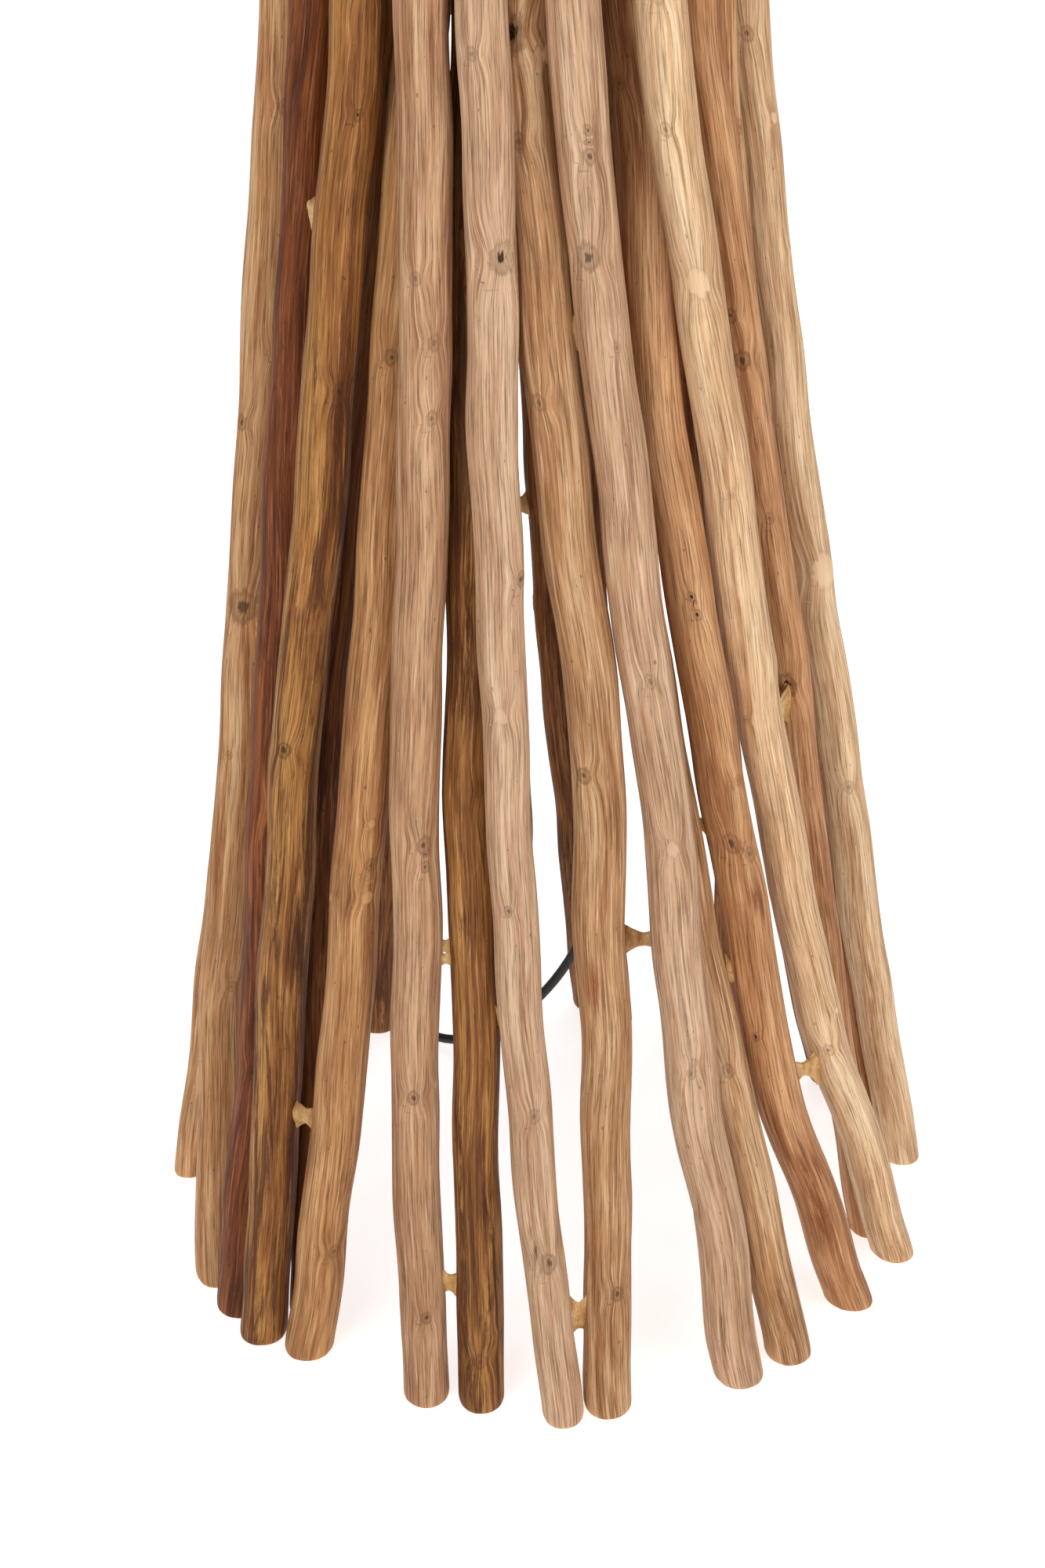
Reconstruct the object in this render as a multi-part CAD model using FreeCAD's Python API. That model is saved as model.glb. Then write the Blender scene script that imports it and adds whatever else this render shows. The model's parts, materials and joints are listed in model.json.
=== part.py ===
import FreeCAD, Part
import math
import os

# A floor lamp: a bundle of peeled branches that flares out to a ring of feet, held by two
# wooden hubs on a steel centre tube, with a lamp holder, a bulb and a cloth shade on top.
# Millimetres, +Z up. The origin is on the floor, on the axis of the tube and the shade.
# A bearing is in degrees seen from above: 0 is the front (-Y), 90 the right side (+X).

V = FreeCAD.Vector
UP = V(0, 0, 1)

# Bundle
BUNDLE_HEIGHT = 1000.0   # floor to the mean top of the branches
BASE_RADIUS = 203.0      # outside of the ring of feet
TOP_RADIUS = 88.0        # outside of the bundle at its top
FLARE_POWER = 1.82       # how late the bundle opens on its way down
LEAN = 18.0              # the ring of feet stands this far to the right of the axis
BRANCH_GAP = 1.8         # least clearance between two branches
LEVELS = 20              # stretches that each branch is lofted over
PACKING_ROUNDS = 400
PACKING_CLOSE = 0.01     # shortfall that ends the rounds

# Hubs and centre tube
LOWER_HUB_RADIUS = 58.0
UPPER_HUB_RADIUS = 40.0
HUB_THICKNESS = 21.0
LOWER_HUB_Z = 622.0      # underside of the lower hub
UPPER_HUB_DROP = 48.0    # top of the branches to the top of the upper hub
TUBE_RADIUS = 8.0
TUBE_WALL = 1.5
TUBE_BELOW = 17.0        # tube end below the lower hub
TUBE_ABOVE = 40.0        # tube end above the branches
NUT_FLATS = 24.0
NUT_THICKNESS = 8.0
WASHER_RADIUS = 18.0
WASHER_THICKNESS = 2.0
SCREW_RADIUS = 2.0
SCREW_HEAD_RADIUS = 4.0
SCREW_HEAD_HEIGHT = 2.5
SCREW_BITE = 18.0        # depth of thread in the hub
SCREW_SINK = 2.0         # the head lies this far under the branch, below filler
HUB_APPROACH = 55.0      # the branches keep clear of a hub from this far above and below
SCREW_REACH = 4.5        # a branch is screwed to a hub across a gap of up to this

UPPER_HUB_Z = BUNDLE_HEIGHT - UPPER_HUB_DROP - HUB_THICKNESS

# Lamp holder and bulb
HOLDER_RADIUS = 19.0
HOLDER_WALL = 2.5
CAP_HEIGHT = 22.0
CAP_GRIP = 14.0          # length of tube inside the cap
CAP_FLOOR_WALL = 4.0
CAP_SLOPE = 4.0          # the cap's corner is cut back by this, over CAP_SLOPE_HEIGHT
CAP_SLOPE_HEIGHT = 6.0
SLEEVE_HEIGHT = 38.0
INSERT_FLOOR = 8.0       # thickness of the insert's floor
INSERT_SINK = 2.0        # sleeve top to insert top
WIRE_HOLE_PLACE = -9.0
CONTACT_SPACE = 6.0      # insert's floor to the bulb's contact
TONGUE_WIDTH = 8.0
TONGUE_LENGTH = 16.0
TONGUE_FOOT = 1.0
TONGUE_THICKNESS = 0.5
SHELL_RADIUS = 14.2      # outside of the screw shell
SHELL_WALL = 0.6
SHELL_SINK = 4.0         # sleeve top to shell top
THREAD_CLEARANCE = 0.35
SHOULDER_RADIUS = 28.0
SHOULDER_THICKNESS = 3.0
SHOULDER_RISE = 10.0     # foot of the sleeve to the shoulder
RING_HEIGHT = 7.0
RING_RADIUS = 26.0
BULB_RADIUS = 30.0
BULB_CAP_HEIGHT = 24.0
BULB_NECK = 48.0         # top of the cap to the middle of the ball
BULB_JOIN = -35.0        # latitude at which the neck meets the ball
NECK_HOLLOW = 0.8        # how far the neck's side curves in
CAP_CONE = 5.0           # height of the cone at the foot of the bulb's cap
CAP_LAND = 2.0           # flat ring round the contact
CONTACT_RADIUS = 4.5
CONTACT_HEIGHT = 2.0

# Shade
SHADE_BOTTOM_RADIUS = 225.0
SHADE_TOP_RADIUS = 190.0
SHADE_HEIGHT = 280.0
SHADE_WALL = 1.4
SPIDER_DROP = 38.0       # bottom of the shade to the spider's ring
SPIDER_THICKNESS = 2.0
SPIDER_ARM_RADIUS = 2.0
WIRE_RADIUS = 2.0
WIRE_CLEARANCE = 0.3
WIRE_EDGE = 1.0          # wire ring to the edge of the cloth
ARM_COUNT = 3
ARM_BEARING = 30.0       # of the first arm, from +X
ARM_DROP_LENGTH = 30.0   # the arm bends down this far inside the wire ring

# Cord, switch and plug
CORD_RADIUS = 2.7
GLAND_FLANGE_RADIUS = 11.0
GLAND_FLANGE = 4.0
RELIEF_LENGTH = 26.0
RELIEF_ROOT_RADIUS = 6.0
RELIEF_TIP_RADIUS = 3.7
GLAND_PLUG = 12.0        # length of the gland inside the tube
CORD_END_DROP = 4.0      # top of the cap to the cord's end
SWITCH_LENGTH = 58.0
SWITCH_WIDTH = 27.0
SWITCH_BASE_HEIGHT = 9.0
SWITCH_COVER_HEIGHT = 9.0
SWITCH_WALL = 2.0
SWITCH_CORNER = 9.0
SWITCH_RIM = 2.5         # rounding of the cover's top edge
SWITCH_END_WALL = 8.0
HOLLOW_CORNER = 3.0
RIB_LENGTH = 7.0         # the two ribs that carry the rocker
WINDOW_CORNER = 0.8
ROCKER_LENGTH = 19.0
ROCKER_WIDTH = 10.0
ROCKER_RISE = 4.5        # rocker's axis above the joint of base and cover
ROCKER_END = 4.6         # height of the rocker's ends above its axis
ROCKER_MIDDLE = 3.2
ROCKER_END_CLEARANCE = 1.0
ROCKER_SKIRT = 0.5       # depth of the ends below the axis
ROCKER_SKIRT_DRAFT = 0.6
ROCKER_FOOT = 3.0        # depth of the foot below the axis
ROCKER_FOOT_HALF = 4.0
ROCKER_TILT = 8.0        # to each side of level; the rocker rests on one side
TRUNNION_RADIUS = 1.0
TRUNNION_LENGTH = 1.6
STRIP_PLACE = 7.0        # the switch's contact strips stand this far to each side
STRIP_SIZE = (3.0, 22.0, 1.2)
POST_SIZE = (3.0, 3.0, 5.0)
PLUG_LENGTH = 36.0
PLUG_WIDTH = 35.0
PLUG_THICKNESS = 14.0
PIN_RADIUS = 2.0
PIN_LENGTH = 19.0
PIN_SPACING = 19.0
PIN_ROOT = 12.0          # length of the pin's thinner root inside the plug
PIN_ROOT_RADIUS = 1.5
PIN_COLLAR = 0.5         # the root stands this far out of the plug
PIN_TIP = 1.0            # rounding of the pin's end
PLUG_CORNER = 7.0
COIL_MIDDLE_RADIUS = 32.0
COIL_WIDTH = 22.4
COIL_HEIGHT = 11.2
COIL_PLACE = (-133.0, 259.0)
SWITCH_PLACE = (-72.0, 232.0)
PLUG_PLACE = (-167.0, 175.0)
FLOOR_GAP = 0.2          # the cord's pieces stand this far above the floor
FIT_GAP = 0.3
TURNING_GAP = 0.05       # clearance of a piece that turns on another

# Heights between which the bearings and insets below are read
BEARING_HEIGHTS = (0.0, 150.0, 300.0, 450.0, 600.0, 1000.0)
INSET_HEIGHTS = (0.0, 300.0, 600.0, 1000.0)
TABLE_HEIGHT = 1000.0

HUB = "hub"   # in place of an inset: the branch stands against the hubs

# Each branch: bearings, insets behind the outside of the bundle, diameters at the foot,
# at the middle and at the top, and how far its top stands above or below the mean.
BRANCHES = (
    ((-92, -91, -98, -105, -104, -100), (0, 4, 5, 0), (18, 19, 18), 6),
    ((-62, -73, -74, -83, -84, -80), (3, 0, 0, 0), (23, 23, 20), -4),
    ((-53, -53, -56, -59, -57, -59), (2, 5, 7, 0), (24, 21, 19), 9),
    ((-46, -47, -47, -43, -37, -39), (2, 0, 0, 0), (23, 23, 20), -8),
    ((-41, -36, -33, -31, -30, -28), (5, 0, 18, HUB), (24, 22, 20), 4),
    ((-46, -50, -53, -52, -50, -50), (28, 24, HUB, HUB), (18, 19, 18), -3),
    ((-18, -20, -20, -20, -22, -20), (5, 0, 0, 0), (21, 22, 20), 7),
    ((-10, -10, -10, -11, -12, -10), (7, 8, HUB, HUB), (21, 21, 19), -6),
    ((2, -1, -4, -6, -7, -4), (0, 0, 0, 0), (19, 21, 20), 2),
    ((8, 11, 13, 9, 3, 8), (4, 2, 12, 6), (22, 24, 18), -9),
    ((29, 27, 26, 20, 13, 20), (4, 0, 0, 0), (24, 22, 20), 5),
    ((38, 35, 31, 27, 24, 20), (5, 16, HUB, HUB), (22, 20, 19), 10),
    ((55, 43, 37, 33, 38, 42), (7, 5, 24, HUB), (23, 21, 19), -5),
    ((70, 57, 50, 43, 32, 37), (3, 0, 0, 0), (22, 22, 21), 3),
    ((74, 70, 67, 60, 49, 53), (18, 3, 0, 0), (19, 19, 18), -7),
    ((102, 92, 84, 71, 63, 69), (8, 8, 0, 0), (18, 18, 17), 8),
    ((96, 89, 87, 85, 82, 85), (-4, 0, 9, 2), (21, 19, 18), -2),
    ((111, 108, 103, 100, 101, 103), (0, 0, 0, 0), (22, 21, 20), 6),
    ((121, 122, 118, 117, 119, 121), (0, 4, 0, 0), (20, 22, 20), -6),
    ((140, 137, 138, 135, 137, 138), (0, 0, 0, 0), (24, 22, 20), 1),
    ((153, 151, 154, 154, 155, 156), (0, 0, 0, 0), (21, 21, 19), 9),
    ((171, 172, 174, 176, 175, 175), (0, 0, 0, 0), (23, 21, 20), -4),
    ((187, 184, 186, 188, 190, 192), (6, 5, 0, 0), (22, 21, 19), 4),
    ((212, 210, 208, 206, 206, 208), (0, 0, 0, 0), (23, 22, 20), -8),
    ((232, 232, 229, 226, 224, 224), (0, 0, 0, 0), (20, 21, 19), 5),
    ((250, 248, 244, 241, 240, 241), (0, 0, 0, 0), (22, 22, 20), -3),
    ((165, 164, 163, 160, 152, 146), (22, 24, HUB, HUB), (19, 20, 18), 3),
    ((240, 240, 237, 232, 226, 220), (10, 22, HUB, HUB), (19, 19, 18), -5),
)

# Glue-and-sawdust bridges: the two branches that each one joins, and its height
GLUE = (
    (10, 11, 480), (9, 10, 46), (7, 8, 56), (7, 8, 213), (8, 9, 188), (12, 13, 190),
    (13, 14, 128), (4, 5, 118), (2, 3, 330), (3, 4, 520), (14, 15, 300), (17, 18, 260),
    (18, 19, 90), (19, 20, 420), (20, 21, 150), (21, 27, 60), (22, 23, 340), (24, 25, 230),
    (25, 28, 70), (26, 1, 380), (1, 2, 560), (15, 16, 540), (23, 24, 590), (11, 12, 330),
)
GLUE_RADIUS = 5.0

# The cord's route where it isn't coiled. The first point is under the gland.
ROUTE_IN = (
    (0, 0, 575), (0, 0, 552), (7, 5, 512), (20, 16, 452), (33, 33, 384), (43, 54, 310),
    (49, 76, 236), (50, 99, 162), (43, 113, 94), (24, 120, 53), (-4, 123, 23),
    (-31, 131, 7), (-53, 146, 2.9), (-67, 166, 3.2), (-72, 188, 4.5), (-72, 203, 4.5),
)
ROUTE_TAIL = (
    (-72, 261, 4.5), (-72, 277, 4.5), (-80.2, 291.3, 3.2), (-94.5, 299.5, 2.9),
    (-111, 299.5, 2.9), (-126, 298, 2.9),
)
ROUTE_LEAD = (
    (-173.4, 268, 8.3), (-173, 251, 8.3), (-167, 235, 7), (-167, 219, 7),
)


def between(value, places, values):
    """Straight-line reading of a short table."""
    if value <= places[0]:
        return float(values[0])
    for k in range(1, len(places)):
        if value <= places[k]:
            part = (value - places[k - 1]) / (places[k] - places[k - 1])
            return values[k - 1] + part * (values[k] - values[k - 1])
    return float(values[-1])


def outside(z):
    """Outer radius of the bundle at height z."""
    share = max(0.0, 1.0 - z / BUNDLE_HEIGHT)
    return TOP_RADIUS + (BASE_RADIUS - TOP_RADIUS) * share ** FLARE_POWER


def middle_x(z):
    """Where the bundle's middle is, to the right of the axis, at height z."""
    return LEAN * max(0.0, 1.0 - z / BUNDLE_HEIGHT) ** 3


def branch_radius(row, z):
    heights = (0.0, BUNDLE_HEIGHT / 2, BUNDLE_HEIGHT)
    return between(z, heights, row[2]) / 2


def core_radius(z):
    """The branches stay clear of this much round the axis, which the hubs need."""
    low = LOWER_HUB_Z - HUB_APPROACH
    wide, narrow = LOWER_HUB_RADIUS + BRANCH_GAP, UPPER_HUB_RADIUS + BRANCH_GAP
    if z < low:
        return wide * (z / low) ** 2
    heights = (LOWER_HUB_Z + HUB_THICKNESS + HUB_APPROACH, UPPER_HUB_Z - HUB_APPROACH)
    return between(z, heights, (wide, narrow))


def row_insets(row):
    """A branch's insets in millimetres, with those against the hubs worked out."""
    insets = []
    for inset, table_z in zip(row[1], INSET_HEIGHTS):
        z = table_z * BUNDLE_HEIGHT / TABLE_HEIGHT
        if inset == HUB:
            inset = outside(z) - 2 * branch_radius(row, z) - core_radius(z)
        insets.append(inset)
    return insets


def wished_place(row, z):
    """Where a branch would stand at height z if it had the room to itself."""
    table_z = z * TABLE_HEIGHT / BUNDLE_HEIGHT
    bearing = math.radians(between(table_z, BEARING_HEIGHTS, row[0]))
    inset = between(table_z, INSET_HEIGHTS, row_insets(row))
    radius = branch_radius(row, z)
    reach = outside(z) - radius - inset
    if row[1][-1] == HUB and z >= LOWER_HUB_Z - HUB_APPROACH:
        reach = core_radius(z) + radius
    return [middle_x(z) + reach * math.sin(bearing), -reach * math.cos(bearing)]


def push_apart(places, radii, core):
    """One round: every pair that is too close moves apart by its shortfall."""
    worst = 0.0
    for i in range(len(places)):
        for j in range(i + 1, len(places)):
            dx = places[j][0] - places[i][0]
            dy = places[j][1] - places[i][1]
            apart = math.hypot(dx, dy)
            short = radii[i] + radii[j] + BRANCH_GAP - apart
            if short > 0:
                worst = max(worst, short)
                step = 0.5 * short / max(apart, 1e-6)
                places[i][0] -= dx * step
                places[i][1] -= dy * step
                places[j][0] += dx * step
                places[j][1] += dy * step
    for place, radius in zip(places, radii):
        apart = math.hypot(place[0], place[1])
        short = core + radius - apart
        if short > 0:
            place[0] *= 1 + short / apart
            place[1] *= 1 + short / apart
    return worst


def packed_level(z, nudges):
    """Places of all the branches at height z, with none touching another."""
    wished = [wished_place(row, z) for row in BRANCHES]
    radii = [branch_radius(row, z) for row in BRANCHES]
    places = [[w[0] + n[0], w[1] + n[1]] for w, n in zip(wished, nudges)]
    for step in range(PACKING_ROUNDS):
        worst = push_apart(places, radii, core_radius(z))
        if worst < PACKING_CLOSE:
            break
    return places, [[p[0] - w[0], p[1] - w[1]] for p, w in zip(places, wished)]


def packed_bundle():
    """For each level its height and the places of the branches there."""
    levels = []
    nudges = [[0.0, 0.0] for row in BRANCHES]
    for k in range(LEVELS + 1):
        z = BUNDLE_HEIGHT * k / LEVELS
        places, nudges = packed_level(z, nudges)
        levels.append((z, places))
    return levels


BUNDLE = packed_bundle()


def branch_centre(index, z):
    """Centre of a branch, counted from 0, at height z."""
    heights = [level[0] for level in BUNDLE]
    xs = [level[1][index][0] for level in BUNDLE]
    ys = [level[1][index][1] for level in BUNDLE]
    return V(between(z, heights, xs), between(z, heights, ys), z)


def make_branch(index):
    row = BRANCHES[index]
    rings = []
    for z, places in BUNDLE:
        height = z + row[3] if z == BUNDLE[-1][0] else z
        centre = V(places[index][0], places[index][1], height)
        circle = Part.makeCircle(branch_radius(row, z), centre, UP)
        rings.append(Part.Wire([circle]))
    return Part.makeLoft(rings, True, False)


def cylinder(radius, height, z, x=0.0, y=0.0):
    return Part.makeCylinder(radius, height, V(x, y, z), UP)


def pipe(radius, bore, height, z):
    return cylinder(radius, height, z).cut(cylinder(bore, height + 2, z - 1))


def turned(points):
    """Solid of revolution about Z from (radius, z) points."""
    corners = [V(r, 0, z) for r, z in points]
    face = Part.Face(Part.makePolygon(corners + corners[:1]))
    return face.revolve(V(0, 0, 0), UP, 360)


TUBE_BOTTOM = LOWER_HUB_Z - TUBE_BELOW
TUBE_TOP = BUNDLE_HEIGHT + TUBE_ABOVE
HUBS = ((LOWER_HUB_Z, LOWER_HUB_RADIUS), (UPPER_HUB_Z, UPPER_HUB_RADIUS))


def inner_branches(z, hub_radius):
    """Branches that stand against the hub at height z."""
    found = []
    for index, row in enumerate(BRANCHES):
        centre = branch_centre(index, z)
        gap = math.hypot(centre.x, centre.y) - branch_radius(row, z) - hub_radius
        if gap < SCREW_REACH:
            found.append(index)
    return found


def hub_screw(index, z, hub_radius):
    """A countersunk screw from the outside of an inner branch into the hub."""
    centre = branch_centre(index, z)
    distance = math.hypot(centre.x, centre.y)
    tip = hub_radius - SCREW_BITE
    head = distance + branch_radius(BRANCHES[index], z) - SCREW_SINK
    screw = turned((
        (0, tip), (SCREW_RADIUS, tip), (SCREW_RADIUS, head - SCREW_HEAD_HEIGHT),
        (SCREW_HEAD_RADIUS, head), (0, head)))
    screw.rotate(V(0, 0, 0), V(0, 1, 0), 90)
    screw.rotate(V(0, 0, 0), UP, math.degrees(math.atan2(centre.y, centre.x)))
    screw.translate(V(0, 0, z))
    return screw


def make_hub_screws():
    screws = []
    for floor, radius in HUBS:
        z = floor + HUB_THICKNESS / 2
        screws += [(index, hub_screw(index, z, radius)) for index in inner_branches(z, radius)]
    return screws


def make_hub(floor, radius, screws, branches):
    hub = cylinder(radius, HUB_THICKNESS, floor)
    hub = hub.cut(cylinder(TUBE_RADIUS + FIT_GAP, HUB_THICKNESS + 2, floor - 1))
    for index, screw in screws:
        if floor < screw.BoundBox.Center.z < floor + HUB_THICKNESS:
            hub = hub.cut(screw).cut(branches[index])
    return hub


def make_nut(floor):
    corner = NUT_FLATS / math.sqrt(3)
    turns = [math.radians(60 * k) for k in range(7)]
    points = [V(corner * math.cos(turn), corner * math.sin(turn), floor) for turn in turns]
    prism = Part.Face(Part.makePolygon(points)).extrude(V(0, 0, NUT_THICKNESS))
    return prism.cut(cylinder(TUBE_RADIUS, NUT_THICKNESS + 2, floor - 1))


def washer_floors():
    return (LOWER_HUB_Z - WASHER_THICKNESS, UPPER_HUB_Z + HUB_THICKNESS)


def make_washers():
    rings = [pipe(WASHER_RADIUS, TUBE_RADIUS + FIT_GAP, WASHER_THICKNESS, z) for z in washer_floors()]
    return Part.makeCompound(rings)


def make_nuts():
    low, high = washer_floors()
    return Part.makeCompound([make_nut(low - NUT_THICKNESS), make_nut(high + WASHER_THICKNESS)])


def make_gland():
    """A nylon bush in the tube's lower end, with a tapered strain relief under it."""
    bore = TUBE_RADIUS - TUBE_WALL
    top = TUBE_BOTTOM + GLAND_PLUG
    flange = TUBE_BOTTOM - GLAND_FLANGE
    tip = flange - RELIEF_LENGTH
    return turned((
        (CORD_RADIUS, tip), (RELIEF_TIP_RADIUS, tip), (RELIEF_ROOT_RADIUS, flange),
        (GLAND_FLANGE_RADIUS, flange), (GLAND_FLANGE_RADIUS, TUBE_BOTTOM),
        (bore, TUBE_BOTTOM), (bore, top), (CORD_RADIUS, top)))


GLAND_TIP = TUBE_BOTTOM - GLAND_FLANGE - RELIEF_LENGTH

# Heights in the lamp holder, from the end of the tube up
CAP_FLOOR = TUBE_TOP - CAP_GRIP
SLEEVE_FLOOR = CAP_FLOOR + CAP_HEIGHT
SLEEVE_TOP = SLEEVE_FLOOR + SLEEVE_HEIGHT
SHELF_Z = SLEEVE_FLOOR + INSERT_FLOOR          # top of the insert's floor
SHOULDER_Z = SLEEVE_FLOOR + SHOULDER_RISE      # underside of the shoulder
SPIDER_Z = SHOULDER_Z + SHOULDER_THICKNESS + TURNING_GAP
RING_Z = SPIDER_Z + SPIDER_THICKNESS
BULB_FLOOR = SHELF_Z + CONTACT_SPACE           # underside of the bulb's contact
SHADE_FLOOR = SPIDER_Z - SPIDER_DROP


def make_holder_cap():
    inner = HOLDER_RADIUS - HOLDER_WALL
    floor = CAP_FLOOR + CAP_FLOOR_WALL
    return turned((
        (TUBE_RADIUS, CAP_FLOOR), (HOLDER_RADIUS - CAP_SLOPE, CAP_FLOOR),
        (HOLDER_RADIUS, CAP_FLOOR + CAP_SLOPE_HEIGHT), (HOLDER_RADIUS, SLEEVE_FLOOR),
        (inner, SLEEVE_FLOOR), (inner, floor + HOLDER_WALL), (inner - HOLDER_WALL, floor),
        (TUBE_RADIUS, floor)))


def make_holder_sleeve():
    inner = HOLDER_RADIUS - HOLDER_WALL
    return turned((
        (inner, SLEEVE_FLOOR), (HOLDER_RADIUS, SLEEVE_FLOOR), (HOLDER_RADIUS, SHOULDER_Z),
        (SHOULDER_RADIUS, SHOULDER_Z), (SHOULDER_RADIUS, SHOULDER_Z + SHOULDER_THICKNESS),
        (HOLDER_RADIUS, SHOULDER_Z + SHOULDER_THICKNESS),
        (HOLDER_RADIUS, SLEEVE_TOP), (inner, SLEEVE_TOP)))


def make_holder_insert():
    """The insulating cup that carries the screw shell and the centre contact."""
    inner = HOLDER_RADIUS - HOLDER_WALL
    floor = cylinder(inner, SHELF_Z - SLEEVE_FLOOR, SLEEVE_FLOOR)
    wall = pipe(inner, SHELL_RADIUS, SLEEVE_TOP - SHELF_Z - INSERT_SINK, SHELF_Z)
    cup = floor.fuse(wall)
    cup = cup.cut(cylinder(CORD_RADIUS, SHELF_Z, SLEEVE_FLOOR - 1, 0, WIRE_HOLE_PLACE))
    return cup.removeSplitter()


def make_screw_shell():
    height = SLEEVE_TOP - SHELF_Z - SHELL_SINK
    return pipe(SHELL_RADIUS, SHELL_RADIUS - SHELL_WALL, height, SHELF_Z)


def make_centre_contact():
    """A brass tongue that rises from the insert's floor to the bulb's contact."""
    side, front = -TONGUE_WIDTH / 2, -TONGUE_LENGTH / 4
    back = front + TONGUE_LENGTH - TONGUE_FOOT
    top = BULB_FLOOR - FIT_GAP - TONGUE_THICKNESS
    foot = Part.makeBox(TONGUE_WIDTH, TONGUE_LENGTH, TONGUE_FOOT, V(side, front, SHELF_Z))
    riser = Part.makeBox(TONGUE_WIDTH, TONGUE_FOOT, top - SHELF_Z, V(side, back, SHELF_Z))
    tongue = Part.makeBox(TONGUE_WIDTH, TONGUE_LENGTH, TONGUE_THICKNESS, V(side, front, top))
    return foot.fuse(riser).fuse(tongue).removeSplitter()


def make_bulb_contact():
    return cylinder(CONTACT_RADIUS, CONTACT_HEIGHT, BULB_FLOOR)


def bulb_cap_radius():
    return SHELL_RADIUS - SHELL_WALL - THREAD_CLEARANCE


def make_bulb_cap():
    z = BULB_FLOOR + CONTACT_HEIGHT
    wide = bulb_cap_radius()
    return turned((
        (0, z), (CONTACT_RADIUS + CAP_LAND, z), (wide, z + CAP_CONE), (wide, z + BULB_CAP_HEIGHT),
        (0, z + BULB_CAP_HEIGHT)))


BULB_NECK_Z = BULB_FLOOR + CONTACT_HEIGHT + BULB_CAP_HEIGHT


def make_bulb_glass():
    """A pear: a neck that widens along an arc to a ball."""
    neck = bulb_cap_radius()
    centre_z = BULB_NECK_Z + BULB_NECK
    join = math.radians(BULB_JOIN)
    start = V(neck, 0, BULB_NECK_Z)
    meet = V(BULB_RADIUS * math.cos(join), 0, centre_z + BULB_RADIUS * math.sin(join))
    lip = (start + meet) / 2 - V(NECK_HOLLOW, 0, 0)
    top = V(0, 0, centre_z + BULB_RADIUS)
    side = V(BULB_RADIUS * math.cos(math.radians(30)), 0, centre_z + BULB_RADIUS * 0.5)
    edges = [
        Part.Arc(start, lip, meet).toShape(),
        Part.Arc(meet, side, top).toShape(),
        Part.makeLine(top, V(0, 0, BULB_NECK_Z)),
        Part.makeLine(V(0, 0, BULB_NECK_Z), start),
    ]
    return Part.Face(Part.Wire(edges)).revolve(V(0, 0, 0), UP, 360)


def make_shade_cloth():
    slope = (SHADE_BOTTOM_RADIUS - SHADE_TOP_RADIUS) / SHADE_HEIGHT
    wall = SHADE_WALL * math.sqrt(1 + slope * slope)
    top = SHADE_FLOOR + SHADE_HEIGHT
    return turned((
        (SHADE_BOTTOM_RADIUS - wall, SHADE_FLOOR), (SHADE_BOTTOM_RADIUS, SHADE_FLOOR),
        (SHADE_TOP_RADIUS, top), (SHADE_TOP_RADIUS - wall, top)))


def shade_inside(z):
    """Radius of the inside of the shade at height z."""
    share = (z - SHADE_FLOOR) / SHADE_HEIGHT
    radius = SHADE_BOTTOM_RADIUS + share * (SHADE_TOP_RADIUS - SHADE_BOTTOM_RADIUS)
    slope = (SHADE_BOTTOM_RADIUS - SHADE_TOP_RADIUS) / SHADE_HEIGHT
    return radius - SHADE_WALL * math.sqrt(1 + slope * slope)


def wire_heights():
    inward = WIRE_RADIUS + WIRE_EDGE
    return (SHADE_FLOOR + inward, SHADE_FLOOR + SHADE_HEIGHT - inward)


def wire_ring_radius(z):
    return shade_inside(z + WIRE_RADIUS) - WIRE_RADIUS - WIRE_CLEARANCE


def make_shade_wires():
    rings = []
    for z in wire_heights():
        rings.append(Part.makeTorus(wire_ring_radius(z), WIRE_RADIUS, V(0, 0, z), UP))
    return Part.makeCompound(rings)


def make_spider():
    """A flat ring on the holder's shoulder with three wires down to the lower ring."""
    ring = pipe(RING_RADIUS, HOLDER_RADIUS + FIT_GAP, SPIDER_THICKNESS, SPIDER_Z)
    low = wire_heights()[0]
    reach = wire_ring_radius(low)
    middle = SPIDER_Z + SPIDER_THICKNESS / 2
    for k in range(ARM_COUNT):
        turn = math.radians(ARM_BEARING + 360 * k / ARM_COUNT)
        way = V(math.cos(turn), math.sin(turn), 0)
        start = way * (RING_RADIUS - SPIDER_ARM_RADIUS) + UP * middle
        bend = way * (reach - ARM_DROP_LENGTH) + UP * middle
        end = way * reach + UP * low
        first = Part.makeCylinder(SPIDER_ARM_RADIUS, (bend - start).Length, start, way)
        down = end - bend
        second = Part.makeCylinder(SPIDER_ARM_RADIUS, down.Length, bend, down)
        knee = Part.makeSphere(SPIDER_ARM_RADIUS, bend)
        ring = ring.fuse(first).fuse(knee).fuse(second)
    ring = ring.cut(cylinder(HOLDER_RADIUS + FIT_GAP, 20, SPIDER_Z - 10))
    ring = ring.cut(cylinder(SHOULDER_RADIUS + FIT_GAP, 20, SPIDER_Z - 20))
    return ring.cut(pipe(RING_RADIUS + 1, HOLDER_RADIUS, 10, RING_Z)).removeSplitter()


def make_shade_ring():
    return pipe(RING_RADIUS - 1, HOLDER_RADIUS + TURNING_GAP, RING_HEIGHT, RING_Z + TURNING_GAP)


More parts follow.
